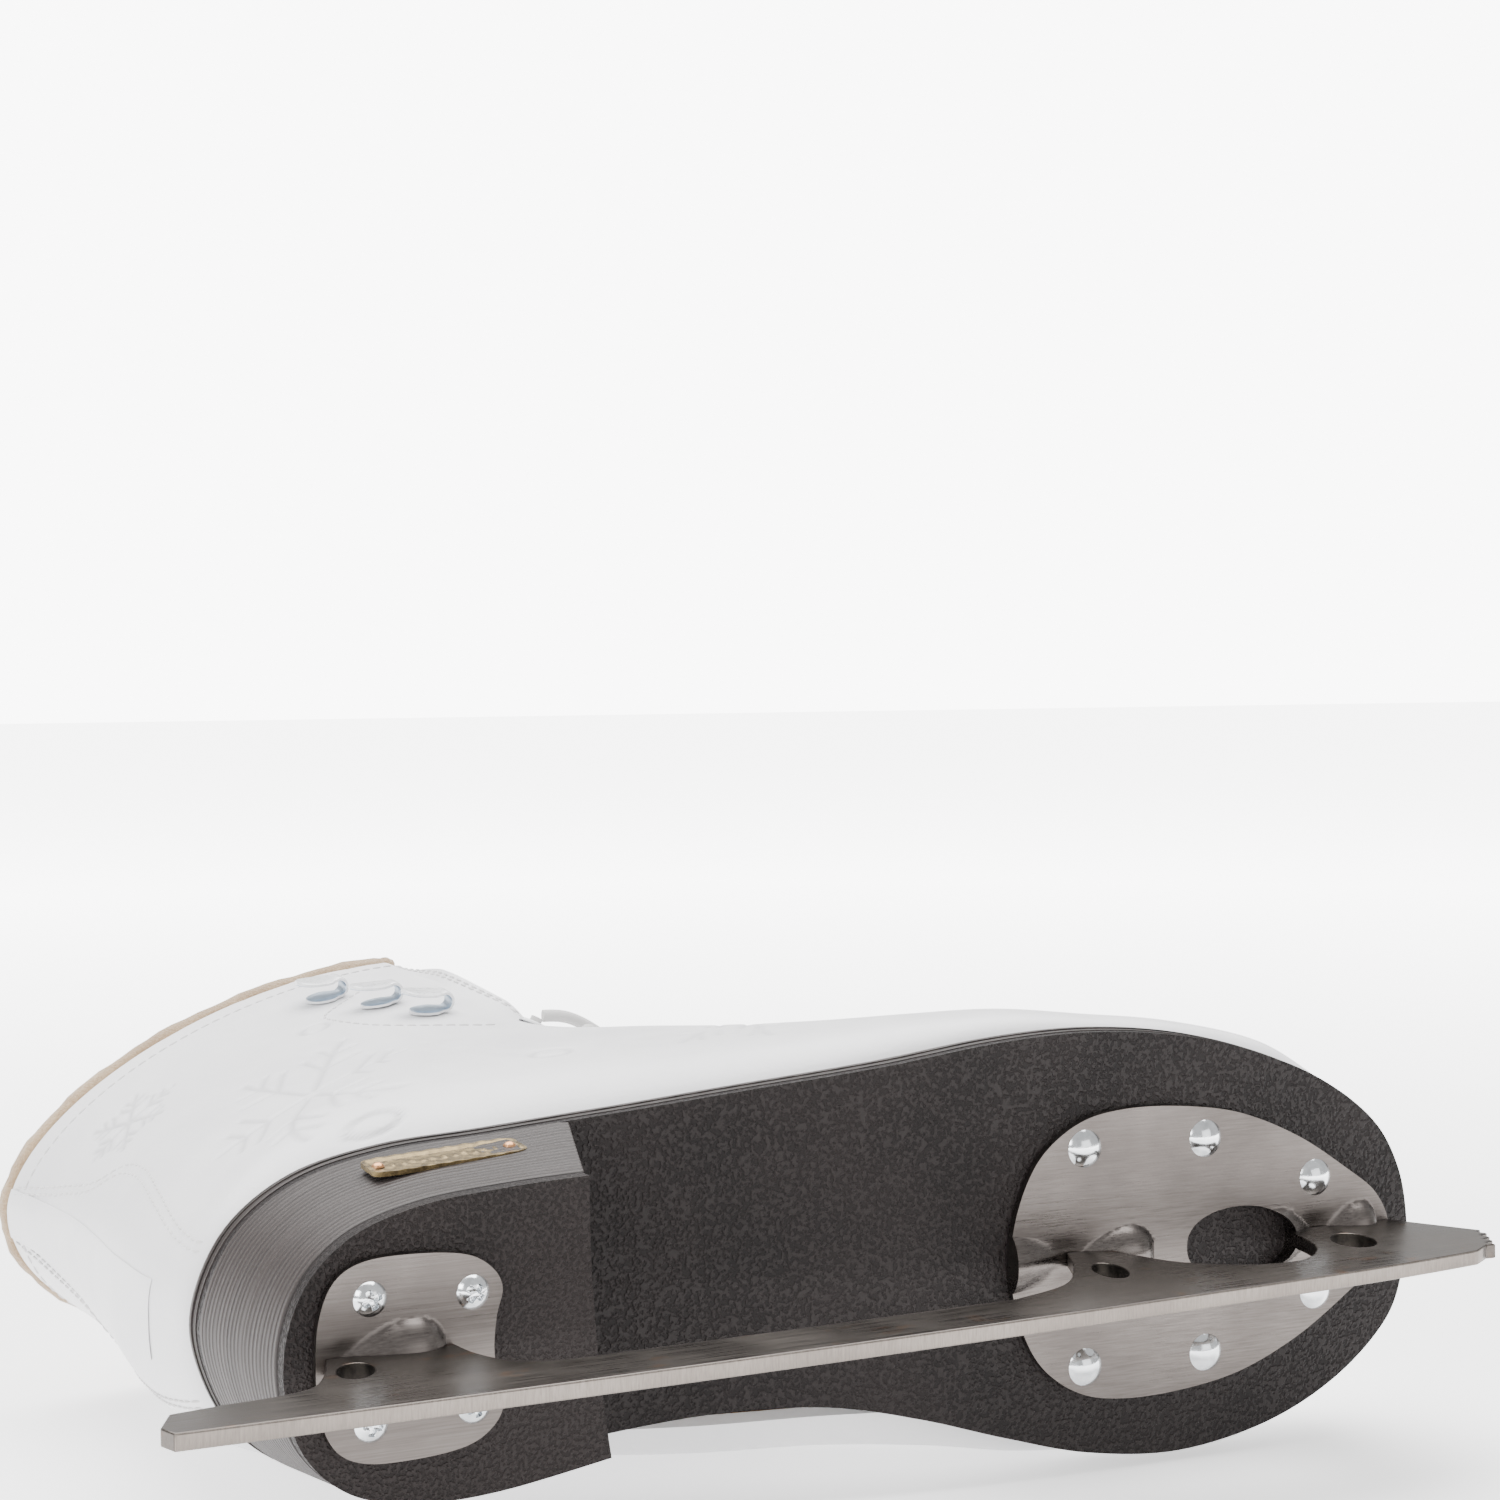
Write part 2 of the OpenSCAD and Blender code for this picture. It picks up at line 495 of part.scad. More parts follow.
function reversed(p) = [for (i = [len(p) - 1:-1:0]) p[i]];
lace_path = concat([last_out(-1)], reversed(strand(-1, 1)), [front_point(eyelet_ts[0], -lace_r - 0.8)],
                   strand(1, 0), [last_out(1)]);

// A round tube along a path, as one closed solid
function turn(v, a, b) =
    let (c = cross(a, b), k = a * b) norm(c) < 1e-6 ? v : v + cross(c, v) + cross(c, cross(c, v)) / (1 + k);
function tangent(p, i) =
    let (t = p[min(i + 1, len(p) - 1)] - p[max(i - 1, 0)]) t / norm(t);
function carried(p, i, v) =
    i >= len(p) - 1 ? [v] : concat([v], carried(p, i + 1, turn(v, tangent(p, i), tangent(p, i + 1))));
function start_side(t) = let (c = cross(t, abs(t[2]) < 0.8 ? [0, 0, 1] : [1, 0, 0])) c / norm(c);
module tube(p, r, sides) {
    n = len(p);
    side = carried(p, 0, start_side(tangent(p, 0)));
    rings = [for (i = [0:n - 1], k = [0:sides - 1])
        let (t = tangent(p, i), v = side[i], a = 360 * k / sides)
            p[i] + r * (cos(a) * v + sin(a) * cross(t, v))];
    walls = [for (i = [0:n - 2], k = [0:sides - 1])
        let (a = i * sides + k, b = i * sides + (k + 1) % sides)
            each [[a, a + sides, b], [b, a + sides, b + sides]]];
    polyhedron(points = rings,
               faces = concat(walls, [[for (k = [0:sides - 1]) k]],
                              [[for (k = [sides - 1:-1:0]) (n - 1) * sides + k]]));
}
lace_sides = 8;
module lace() color("#f2f0ee") lie() tube(lace_path, lace_r, lace_sides);

// The free ends hang over the front edges to the floor, where each lies in a coil
lie_z = floor_z + lace_r + 0.2;
coil_r = 17;
coil_half = 4.6;
coil_h = 6.4;
end_lateral = [[48, 160, 44.4], [56, 160, 40], [65, 158, 32], [75, 156, 20], [83, 156, 4], [89, 158, -12],
               [94, 163, -28], [99, 170, -40], [106, 178, lie_z], [116, 185, lie_z], [128, 189, lie_z],
               [139, 190.5, lie_z]];
coil_lateral = [139, 207.5];
end_medial = [[50, 166, -39], [56, 176, -42], [59, 186, -44.5], [60, 196, lie_z], [62, 208, lie_z]];
coil_medial = [79, 210];
module lace_end_lateral() color("#f2f0ee") lie()
    tube(concat([last_out(1) + [1.6, 0.4, 0.3]], end_lateral), lace_r, lace_sides);
module lace_end_medial() color("#f2f0ee") lie()
    tube(concat([last_out(-1) + [1.6, 1, -0.3]], end_medial), lace_r, lace_sides);
module coil(c) translate([c[0], c[1], floor_z]) rotate_extrude()
    translate([coil_r - coil_half, 0]) square([2 * coil_half, coil_h]);
module lace_coil_lateral() color("#f2f0ee") lie() coil(coil_lateral);
module lace_coil_medial() color("#f2f0ee") lie() coil(coil_medial);

blade();
sole_plate();
heel_plate();
sole_rivets();
heel_screws();
outsole();
midsole();
welt();
heel_lift();
heel_stack();
nameplate();
nameplate_pins();
shank();
insole_board();
footbed();
vamp();
toe_puff();
vamp_lining();
quarter_lateral();
quarter_medial();
heel_counter();
backstay();
quarter_lining();
collar_pad();
facing_lateral();
facing_medial();
eyelets_lateral();
eyelets_medial();
hook_lateral_1();
hook_lateral_2();
hook_lateral_3();
hook_medial_1();
hook_medial_2();
hook_medial_3();
tongue_base();
tongue_base_lining();
tongue_flap();
tongue_flap_lining();
lace();
lace_end_lateral();
lace_end_medial();
lace_coil_lateral();
lace_coil_medial();
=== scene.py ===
# Figure skate for the right foot, lying on its inner side.
# Shapes repeat the frame's own formulas in millimetres in the skate's frame, then are placed in metres.
# Where a shape parts from the frame's, a comment beside it says so.
import math
import bmesh
import bpy
import numpy as np
from mathutils import Matrix, Vector, kdtree


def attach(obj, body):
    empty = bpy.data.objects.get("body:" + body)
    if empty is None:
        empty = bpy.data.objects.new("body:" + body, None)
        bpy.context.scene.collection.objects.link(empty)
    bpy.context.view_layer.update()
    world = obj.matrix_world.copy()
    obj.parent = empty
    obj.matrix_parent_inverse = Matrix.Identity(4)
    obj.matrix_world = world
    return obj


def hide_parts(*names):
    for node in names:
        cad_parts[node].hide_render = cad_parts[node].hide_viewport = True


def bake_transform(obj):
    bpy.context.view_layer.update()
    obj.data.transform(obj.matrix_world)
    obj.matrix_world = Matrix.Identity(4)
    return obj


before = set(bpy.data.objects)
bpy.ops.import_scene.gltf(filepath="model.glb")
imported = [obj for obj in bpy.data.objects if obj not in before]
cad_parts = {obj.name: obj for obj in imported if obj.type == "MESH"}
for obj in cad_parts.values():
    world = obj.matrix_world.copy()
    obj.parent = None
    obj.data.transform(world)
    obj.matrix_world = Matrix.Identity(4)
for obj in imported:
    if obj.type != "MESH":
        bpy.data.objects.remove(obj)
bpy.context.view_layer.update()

MM = 0.001
TAIL_X = -94.6
FRONT_X = 209.4
TOP_Y = 243.6
FLOOR_Z = -47.6
ORIGIN = np.array([(TAIL_X + FRONT_X) / 2, TOP_Y / 2, FLOOR_Z])


def put(points):
    return (np.asarray(points, float) - ORIGIN) * MM


# ---------------------------------------------------------------- camera, light and floor
CAMERA_AT = (-220.588, -451.754, 129.015)
CAMERA_AZIMUTH = -27.4738
CAMERA_ELEVATION = 1.8087
CAMERA_ROLL = -0.3166
LENS_MM = 67.2
SENSOR_MM = 36


def make_camera():
    a = math.radians(CAMERA_AZIMUTH)
    e = math.radians(CAMERA_ELEVATION)
    r = math.radians(CAMERA_ROLL)
    back = Vector((math.sin(a) * math.cos(e), -math.cos(a) * math.cos(e), math.sin(e)))
    right = Vector((math.cos(a), math.sin(a), 0))
    up = right.cross(-back)
    right, up = math.cos(r) * right + math.sin(r) * up, math.cos(r) * up - math.sin(r) * right
    data = bpy.data.cameras.new("camera")
    data.lens = LENS_MM
    data.sensor_width = SENSOR_MM
    data.clip_start = 0.01
    data.clip_end = 50
    ob = bpy.data.objects.new("camera", data)
    bpy.context.collection.objects.link(ob)
    turn = Matrix((right, up, back)).transposed().to_4x4()
    ob.matrix_world = Matrix.Translation(Vector(put(CAMERA_AT))) @ turn
    bpy.context.scene.camera = ob


make_camera()

# ---------------------------------------------------------------- materials
class Mat:
    """A Principled material with helpers for its texture nodes."""

    def __init__(self, name, metallic=0.0, coat=0.0, coat_rough=0.3, sheen=0.0, specular=0.5):
        self.m = bpy.data.materials.new(name)
        self.m.use_nodes = True
        self.t = self.m.node_tree
        self.b = self.t.nodes["Principled BSDF"]
        self.b.inputs["Metallic"].default_value = metallic
        self.b.inputs["Coat Weight"].default_value = coat
        self.b.inputs["Coat Roughness"].default_value = coat_rough
        self.b.inputs["Sheen Weight"].default_value = sheen
        self.b.inputs["Specular IOR Level"].default_value = specular
        self.where = self.t.nodes.new("ShaderNodeTexCoord").outputs["Object"]

    def node(self, kind, **values):
        n = self.t.nodes.new("ShaderNode" + kind)
        for key, value in values.items():
            if hasattr(n, key):
                setattr(n, key, value)
        return n

    def feed(self, n, name, value):
        if isinstance(value, bpy.types.NodeSocket):
            self.t.links.new(value, n.inputs[name])
        else:
            n.inputs[name].default_value = value

    def scaled(self, per_mm, turn=(0, 0, 0)):
        n = self.node("Mapping")
        self.feed(n, "Vector", self.where)
        self.feed(n, "Scale", [v * 1000 for v in per_mm])
        self.feed(n, "Rotation", turn)
        return n.outputs["Vector"]

    def noise(self, per_mm, detail=4.0, rough=0.55, turn=(0, 0, 0)):
        n = self.node("TexNoise")
        self.feed(n, "Vector", self.scaled(per_mm, turn))
        self.feed(n, "Scale", 1.0)
        self.feed(n, "Detail", detail)
        self.feed(n, "Roughness", rough)
        return n.outputs["Fac"]

    def cells(self, per_mm, feature="F1"):
        n = self.node("TexVoronoi")
        n.feature = feature
        self.feed(n, "Vector", self.scaled(per_mm))
        self.feed(n, "Scale", 1.0)
        return n.outputs["Distance"]

    def bands(self, per_mm, turn=(0, 0, 0), distortion=0.0):
        n = self.node("TexWave")
        self.feed(n, "Vector", self.scaled(per_mm, turn))
        self.feed(n, "Scale", 1.0)
        self.feed(n, "Distortion", distortion)
        return n.outputs["Fac"]

    def span(self, value, low, high, start=0.3, end=0.7):
        n = self.node("MapRange")
        self.feed(n, "Value", value)
        self.feed(n, "From Min", start)
        self.feed(n, "From Max", end)
        self.feed(n, "To Min", low)
        self.feed(n, "To Max", high)
        return n.outputs["Result"]

    def blend(self, factor, a, b, how="MIX"):
        n = self.node("Mix")
        n.data_type = "RGBA"
        n.blend_type = how
        colours = [s for s in n.inputs if s.type == "RGBA"]
        self.feed(n, "Factor", factor)
        for socket, value in zip(colours, (a, b)):
            if isinstance(value, bpy.types.NodeSocket):
                self.t.links.new(value, socket)
            else:
                socket.default_value = (*value, 1)
        return [s for s in n.outputs if s.type == "RGBA"][0]

    def add(self, a, b, how="ADD"):
        n = self.node("Math")
        n.operation = how
        for i, v in enumerate((a, b)):
            if isinstance(v, bpy.types.NodeSocket):
                self.t.links.new(v, n.inputs[i])
            else:
                n.inputs[i].default_value = v
        return n.outputs[0]

    def colour(self, value):
        self.feed(self.b, "Base Color", value)

    def rough(self, value):
        self.feed(self.b, "Roughness", value)

    def bump(self, height, depth_mm, strength=1.0):
        n = self.node("Bump")
        self.feed(n, "Height", height)
        self.feed(n, "Distance", depth_mm * MM)
        self.feed(n, "Strength", strength)
        if self.b.inputs["Normal"].is_linked:
            self.feed(n, "Normal", self.b.inputs["Normal"].links[0].from_socket)
        self.t.links.new(n.outputs["Normal"], self.b.inputs["Normal"])


def leather(name, dark, light, grain, depth, rough, coat=0.0, spots=0.15):
    """Leather that is a little darker where a mark is pressed in: painted shade in the pressed lines."""
    k = Mat(name, coat=coat, coat_rough=0.35)
    base = k.blend(k.span(k.noise((0.03, 0.03, 0.03)), 0, 1), dark, light)
    mark = k.node("Attribute", attribute_name="pressed").outputs["Fac"]
    # painted shade: the colour darkens towards 0.78 of the dark tone along the pressed lines
    k.colour(k.blend(k.span(mark, 0, 1, 0, 1), base, [v * 0.78 for v in dark]))
    fine = k.noise((spots, spots, spots), 6)
    k.rough(k.span(fine, rough - 0.06, rough + 0.08))
    k.bump(k.add(k.cells((grain, grain, grain)), k.noise((grain * 1.8,) * 3, 3)), depth)
    return k.m


def coarse_leather(name, dark, light, grain, depth, rough):
    """Dark sole leather pressed with a fine wormy grain."""
    k = Mat(name, specular=0.2)
    worms = k.noise((grain, grain * 1.5, grain), 1.5, 0.45)
    ridge = k.span(worms, 0, 1, 0.42, 0.56)
    broad = k.noise((0.04, 0.04, 0.04), 3)
    k.colour(k.blend(k.span(k.add(k.span(ridge, 0, 0.35, 0, 1), broad), 0, 1, 0.35, 0.85), dark, light))
    k.rough(k.span(ridge, rough + 0.1, rough - 0.04, 0, 1))
    k.bump(ridge, depth)
    k.bump(k.noise((grain * 6,) * 3, 3), depth * 0.12)
    return k.m


def steel(name, dark, light, rough, per_mm, depth=0.02, tint=None):
    k = Mat(name, metallic=1.0)
    streak = k.noise(per_mm, 5, 0.65)
    base = k.blend(k.span(streak, 0, 1), dark, light)
    wide = k.noise((0.035, 0.035, 0.035), 3)
    base = k.blend(k.span(wide, 0, 0.35), base, [v * 0.8 for v in dark])
    if tint:
        base = k.blend(k.span(k.noise((0.09, 0.12, 0.09), 4), 0, 0.5, 0.62, 0.74), base, tint)
    k.colour(base)
    k.rough(k.span(k.add(streak, wide), rough - 0.05, rough + 0.1, 0.8, 1.2))
    k.bump(streak, depth)
    return k.m


def plain_metal(name, dark, light, rough):
    k = Mat(name, metallic=1.0)
    spots = k.noise((0.5, 0.5, 0.5), 5)
    k.colour(k.blend(k.span(spots, 0, 1), dark, light))
    k.rough(k.span(spots, rough - 0.04, rough + 0.08))
    k.bump(k.noise((2.5, 2.5, 2.5), 3), 0.01)
    return k.m


def cloth(name, dark, light, per_mm, depth, sheen=0.4):
    k = Mat(name, sheen=sheen, specular=0.2)
    tuft = k.noise((per_mm, per_mm, per_mm), 5, 0.7)
    k.colour(k.blend(k.span(k.add(tuft, k.noise((0.08,) * 3, 3), "MULTIPLY"), 0, 1, 0.15, 0.36), dark, light))
    k.rough(k.span(tuft, 0.8, 0.98))
    k.bump(tuft, depth)
    return k.m


def woven(name, dark, light, pitch, depth):
    k = Mat(name, sheen=0.3, specular=0.25)
    f = 1 / pitch
    a = k.bands((f, f, 0), (0, 0, 0.6))
    b = k.bands((0, f, -f), (0.7, 0, 0))
    weave = k.add(a, b, "MULTIPLY")
    # painted shade: the colour darkens between the threads, where the weave's bump is low
    k.colour(k.blend(k.span(weave, 0, 1, 0, 0.6), dark, light))
    k.rough(k.span(weave, 0.9, 0.7, 0, 1))
    k.bump(weave, depth)
    return k.m


WHITE = leather("white_leather", (0.74, 0.735, 0.75), (0.80, 0.795, 0.80), 0.9, 0.045, 0.42, 0.12)
THREAD = woven("white_thread", (0.66, 0.65, 0.65), (0.82, 0.81, 0.81), 0.7, 0.1)
OUTSOLE = coarse_leather("outsole_leather", (0.0065, 0.0048, 0.0046), (0.014, 0.0105, 0.0100),
                         1.05, 0.24, 0.52)
LIFT = coarse_leather("lift_leather", (0.0085, 0.0064, 0.0060), (0.017, 0.0125, 0.0118), 1.2, 0.2, 0.54)
PLATE = steel("plate_steel", (0.095, 0.083, 0.077), (0.165, 0.148, 0.138), 0.3, (0.05, 1.8, 2.6))
BLADE_SIDE = steel("blade_steel", (0.080, 0.070, 0.063), (0.150, 0.133, 0.120), 0.3, (0.05, 2.4, 1.2),
                   0.02, (0.20, 0.10, 0.045))
BLADE_EDGE = steel("edge_steel", (0.17, 0.148, 0.130), (0.29, 0.255, 0.228), 0.38, (2.6, 0.1, 0.3), 0.03)
BRIGHT = plain_metal("bright_plating", (0.62, 0.64, 0.66), (0.82, 0.84, 0.86), 0.13)
BRASS = plain_metal("antique_brass", (0.085, 0.062, 0.032), (0.24, 0.18, 0.09), 0.38)
COPPER = plain_metal("pin_copper", (0.42, 0.2, 0.09), (0.6, 0.32, 0.16), 0.3)
# near-black steel for the blade's hole walls: painted shade inside the holes
SLOT_SHADE = plain_metal("slot_painted_shade", (0.015, 0.013, 0.012), (0.04, 0.035, 0.03), 0.5)
SHANK = plain_metal("shank_steel", (0.4, 0.4, 0.42), (0.55, 0.55, 0.57), 0.4)
FLEECE = cloth("beige_fleece", (0.34, 0.22, 0.12), (0.50, 0.36, 0.22), 1.4, 0.7, 0.6)
FOOTBED = cloth("footbed_cloth", (0.50, 0.43, 0.32), (0.68, 0.60, 0.47), 1.8, 0.25)
FELT = cloth("stiff_felt", (0.45, 0.38, 0.28), (0.60, 0.53, 0.42), 1.2, 0.2)
BOARD = leather("insole_board", (0.36, 0.26, 0.15), (0.48, 0.37, 0.24), 0.8, 0.1, 0.7)
LACE = woven("white_lace", (0.55, 0.54, 0.53), (0.86, 0.85, 0.83), 1.1, 0.35)


def enamel():
    k = Mat("white_enamel", coat=0.5, coat_rough=0.15)
    k.colour(k.blend(k.span(k.noise((0.2, 0.2, 0.2), 4), 0, 1), (0.66, 0.67, 0.68), (0.80, 0.80, 0.81)))
    k.rough(k.span(k.noise((0.8, 0.8, 0.8), 4), 0.22, 0.36))
    k.bump(k.noise((1.2, 1.2, 1.2), 2), 0.02)
    return k.m


ENAMEL = enamel()
# blue-grey enamel for the faces inside the hooks' bends: painted shade
ENAMEL_INSIDE_SHADE = plain_metal("enamel_inside_painted_shade", (0.42, 0.49, 0.57), (0.55, 0.62, 0.69), 0.4)


def layered(name, dark, light, pitch, rough):
    """Stacked leather seen on its cut edge: fine uneven ridges that follow the sole."""
    k = Mat(name, specular=0.35)
    ridges = k.bands((0, 0.314 / pitch, 0), distortion=1.1)
    n = ridges.node
    n.bands_direction = "Y"
    k.feed(n, "Detail", 3.0)
    k.feed(n, "Detail Scale", 0.35)
    lines = k.noise((0.014, 1.6, 0.014), 3, 0.6)
    both = k.add(k.span(ridges, 0, 0.55, 0, 1), k.span(lines, 0, 0.45, 0.3, 0.7))
    k.colour(k.blend(both, dark, light))
    k.rough(k.span(both, rough + 0.08, rough - 0.06, 0, 1))
    k.bump(both, 0.28)
    k.bump(k.noise((0.9, 0.9, 0.9), 3), 0.05)
    return k.m


HEEL = layered("heel_layers", (0.013, 0.0100, 0.0092), (0.046, 0.036, 0.033), 1.5, 0.5)
EDGE = layered("sole_edge", (0.013, 0.0100, 0.0092), (0.042, 0.033, 0.030), 1.5, 0.5)


# ---------------------------------------------------------------- curves and pieces
def cr(a, b, c, d, k):
    square = 2 * a - 5 * b + 4 * c - d
    cube = 3 * b - a - 3 * c + d
    return 0.5 * (2 * b + (c - a) * k + square * k ** 2 + cube * k ** 3)


def closed_curve(points, m):
    p = np.asarray(points, float)
    n = len(p)
    return np.array([cr(p[i - 1], p[i], p[(i + 1) % n], p[(i + 2) % n], j / m)
                     for i in range(n) for j in range(m)])


def open_curve(points, m):
    p = np.asarray(points, float)
    n = len(p) - 1
    return np.array([cr(p[max(i - 1, 0)], p[i], p[i + 1], p[min(i + 2, n)], j / m)
                     for i in range(n) for j in range(m + (i == n - 1))])


def inset(p, d):
    t = np.roll(p, -1, 0) - np.roll(p, 1, 0)
    t /= np.linalg.norm(t, axis=1)[:, None]
    return p - d * np.stack([t[:, 1], -t[:, 0]], 1)


def ramp(v):
    k = np.clip(v, 0, 1)
    return k * k * (3 - 2 * k)


def piece(name, verts, faces, mat, slot, nodes=(), sharp=35, bevel=0.0, segments=2, body="boot"):
    """A named object with its material, standing for CAD nodes, which it hides."""
    me = bpy.data.meshes.new(name)
    me.from_pydata(put(verts).tolist(), [], faces)
    bm = bmesh.new()
    bm.from_mesh(me)
    bmesh.ops.recalc_face_normals(bm, faces=bm.faces)
    bm.to_mesh(me)
    bm.free()
    me.shade_smooth()
    me.set_sharp_from_angle(angle=math.radians(sharp))
    me.materials.append(mat)
    ob = bpy.data.objects.new(name, me)
    bpy.context.collection.objects.link(ob)
    if bevel:
        b = ob.modifiers.new("rounded_edges", "BEVEL")
        b.width = bevel * MM
        b.segments = segments
        b.limit_method = "ANGLE"
        b.angle_limit = math.radians(40)
        b.harden_normals = False
    if body:
        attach(ob, body)
    if nodes:
        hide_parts(*nodes)
    return ob


def grid_faces(rows, cols, start=0, flip=False, wrap=False):
    out = []
    for i in range(rows - 1):
        for j in range(cols if wrap else cols - 1):
            a = start + i * cols + j
            b = start + i * cols + (j + 1) % cols
            f = (a, b, b + cols, a + cols)
            out.append(f[::-1] if flip else f)
    return out


def closed_shell(outer, inner):
    """Vertices and faces of a solid between two grids of points."""
    r, c = outer.shape[:2]
    v = np.vstack([outer.reshape(-1, 3), inner.reshape(-1, 3)])
    k = r * c
    f = grid_faces(r, c) + grid_faces(r, c, k, True)
    for j in range(c - 1):
        m = (r - 1) * c + j
        f += [(j, k + j, k + j + 1, j + 1), (m, m + 1, k + m + 1, k + m)]
    for i in range(r - 1):
        a = i * c
        b = a + c - 1
        f += [(a, a + c, k + a + c, k + a), (b, k + b, k + b + c, b + c)]
    return v, f


def merge(parts):
    verts, faces, n = [], [], 0
    for v, f in parts:
        verts.append(v)
        faces += [tuple(i + n for i in q) for q in f]
        n += len(v)
    return np.vstack(verts), faces


def plate_solid(loops, cuts_u, cuts_v, lower, upper):
    """A sheet with holes, cut along given lines, and given a lower and an upper surface."""
    bm = bmesh.new()
    edges = []
    for loop in loops:
        vs = [bm.verts.new((u, v, 0)) for u, v in loop]
        edges += [bm.edges.new((vs[i], vs[(i + 1) % len(vs)])) for i in range(len(vs))]
    bmesh.ops.triangle_fill(bm, use_beauty=True, use_dissolve=False, edges=edges, normal=(0, 0, 1))
    for axis, cuts in ((0, cuts_u), (1, cuts_v)):
        for c in cuts:
            co = [0, 0, 0]
            no = [0, 0, 0]
            co[axis] = c
            no[axis] = 1
            bmesh.ops.bisect_plane(bm, geom=bm.verts[:] + bm.edges[:] + bm.faces[:], dist=1e-4,
                                   plane_co=co, plane_no=no)
    bm.verts.index_update()
    uv = np.array([v.co[:2] for v in bm.verts])
    n = len(uv)
    verts = np.vstack([lower(uv[:, 0], uv[:, 1]), upper(uv[:, 0], uv[:, 1])])
    faces = []
    for f in bm.faces:
        ids = [v.index for v in f.verts]
        faces += [tuple(ids[::-1]), tuple(i + n for i in ids)]
    for e in bm.edges:
        if len(e.link_faces) == 1:
            a, b = (v.index for v in e.verts)
            faces.append((a, b, b + n, a + n))
    bm.free()
    return verts, faces


def tube(path, r, sides=12, ends=True):
    """A round tube along a path, with a carried frame so that it doesn't twist."""
    p = np.asarray(path, float)
    t = np.gradient(p, axis=0)
    t /= np.linalg.norm(t, axis=1)[:, None]
    side = np.cross(t[0], (0, 0, 1) if abs(t[0][2]) < 0.8 else (1, 0, 0))
    side /= np.linalg.norm(side)
    rings = []
    a = np.linspace(0, 2 * math.pi, sides, endpoint=False)
    for i in range(len(p)):
        side = side - t[i] * side.dot(t[i])
        side /= np.linalg.norm(side)
        other = np.cross(t[i], side)
        rr = r[i] if hasattr(r, "__len__") else r
        rings.append(p[i] + rr * (np.cos(a)[:, None] * side + np.sin(a)[:, None] * other))
    v = np.vstack(rings)
    f = grid_faces(len(p), sides, wrap=True)
    if ends:
        f += [tuple(range(sides))[::-1], tuple(range((len(p) - 1) * sides, len(p) * sides))]
    return v, f


def along(points, step):
    """The same line with points a given step apart."""
    p = np.asarray(points, float)
    s = np.concatenate([[0], np.cumsum(np.linalg.norm(np.diff(p, axis=0), axis=1))])
    n = max(2, int(round(s[-1] / step)) + 1)
    q = np.linspace(0, s[-1], n)
    return np.stack([np.interp(q, s, p[:, i]) for i in range(p.shape[1])], 1), s[-1]


# ---------------------------------------------------------------- the sole, repeated from the frame
PLATE_X = 150.5
PLATE_Y = 45.85
PLATE_SLOPE = -0.0623
PLATE_T = 2.0
SEAT_Y = 36.5
WAIST_X = 95
WAIST_LEN = 90
SEAT_RISE = 12.5
OUTSOLE_T = 2.4
MIDSOLE_T = 2.0
SOLE_T = 5.8
PLATE_RISE = PLATE_T * math.hypot(1, PLATE_SLOPE) + 0.02
LIFT_T = 3.6
HEEL_Y0 = SEAT_Y + PLATE_T
HEEL_Y1 = 76


def sole_y(x):
    return PLATE_Y + PLATE_RISE + PLATE_SLOPE * (x - PLATE_X) + SEAT_RISE * ramp((WAIST_X - x) / WAIST_LEN)


SOLE_PTS = [[206.6, 0.5], [204.2, 13], [197.2, 24.5], [183, 34.8], [165.5, 42], [145, 47],
            [122, 49], [98, 47.8], [74, 44.4], [48, 41], [20, 37.4], [-8, 34.8],
            [-30, 33], [-48, 28.4], [-61, 18.8], [-67.6, 5], [-67, -7], [-60, -21],
            [-47, -30.2], [-28, -33.6], [-8, -33.2], [15, -30], [40, -27.5], [62, -27.8],
            [82, -32], [102, -38.2], [122, -43.6], [145, -45.8], [168.5, -42], [187.5, -33.5],
            [201.2, -21.4], [205.9, -8.5]]


def flat_layer(name, y0, y1, edge, mat, slot, node, bevel):
    outline = inset(closed_curve(SOLE_PTS, 8), edge)
    solid = plate_solid([outline], np.arange(-64, 206, 6), [],
                        lambda x, z: np.stack([x, sole_y(x) + y0, z], 1),
                        lambda x, z: np.stack([x, sole_y(x) + y1, z], 1))
    return piece(name, *solid, mat, slot, [node], bevel=bevel)


flat_layer("outsole_sheet", 0, OUTSOLE_T, 0.5, OUTSOLE, "sole_leather", "outsole", 0.35)
flat_layer("midsole_sheet", OUTSOLE_T, OUTSOLE_T + MIDSOLE_T, 0.3, EDGE, "midsole_leather", "midsole", 0.2)
flat_layer("welt_strip", OUTSOLE_T + MIDSOLE_T, SOLE_T, 0, EDGE, "midsole_leather", "welt", 0.25)
BOARD_T = 2.2
BOARD_EDGE = 13
FOOTBED_LOW = 7.6
FOOTBED_T = 2.6
FOOTBED_EDGE = 15
flat_layer("insole_board_sheet", SOLE_T, SOLE_T + BOARD_T, BOARD_EDGE, BOARD, "board", "insole_board", 0.2)
FOOTBED_Y = SOLE_T + FOOTBED_LOW
footbed = flat_layer("footbed_pad", FOOTBED_Y, FOOTBED_Y + FOOTBED_T, FOOTBED_EDGE, FOOTBED,
                     "footbed_cloth", "footbed", 0.6)

# The first two points of each row stand up to 4.5 mm further forward than the frame's
HEEL_LOW = np.array([[-1.5, 30.2], [-18, 29.4], [-36, 27.5], [-50, 22.5], [-59, 13], [-62.3, -0.5],
                     [-59.3, -15], [-50, -24.6], [-36, -28.2], [-20, -28.2], [3, -25]])
HEEL_HIGH = np.array([[9, 33], [-10, 33.2], [-32, 31.2], [-50, 26], [-62, 16], [-66.8, 0], [-62, -16.5],
                      [-48, -27.5], [-30, -31.6], [-10, -31], [9, -28.6]])


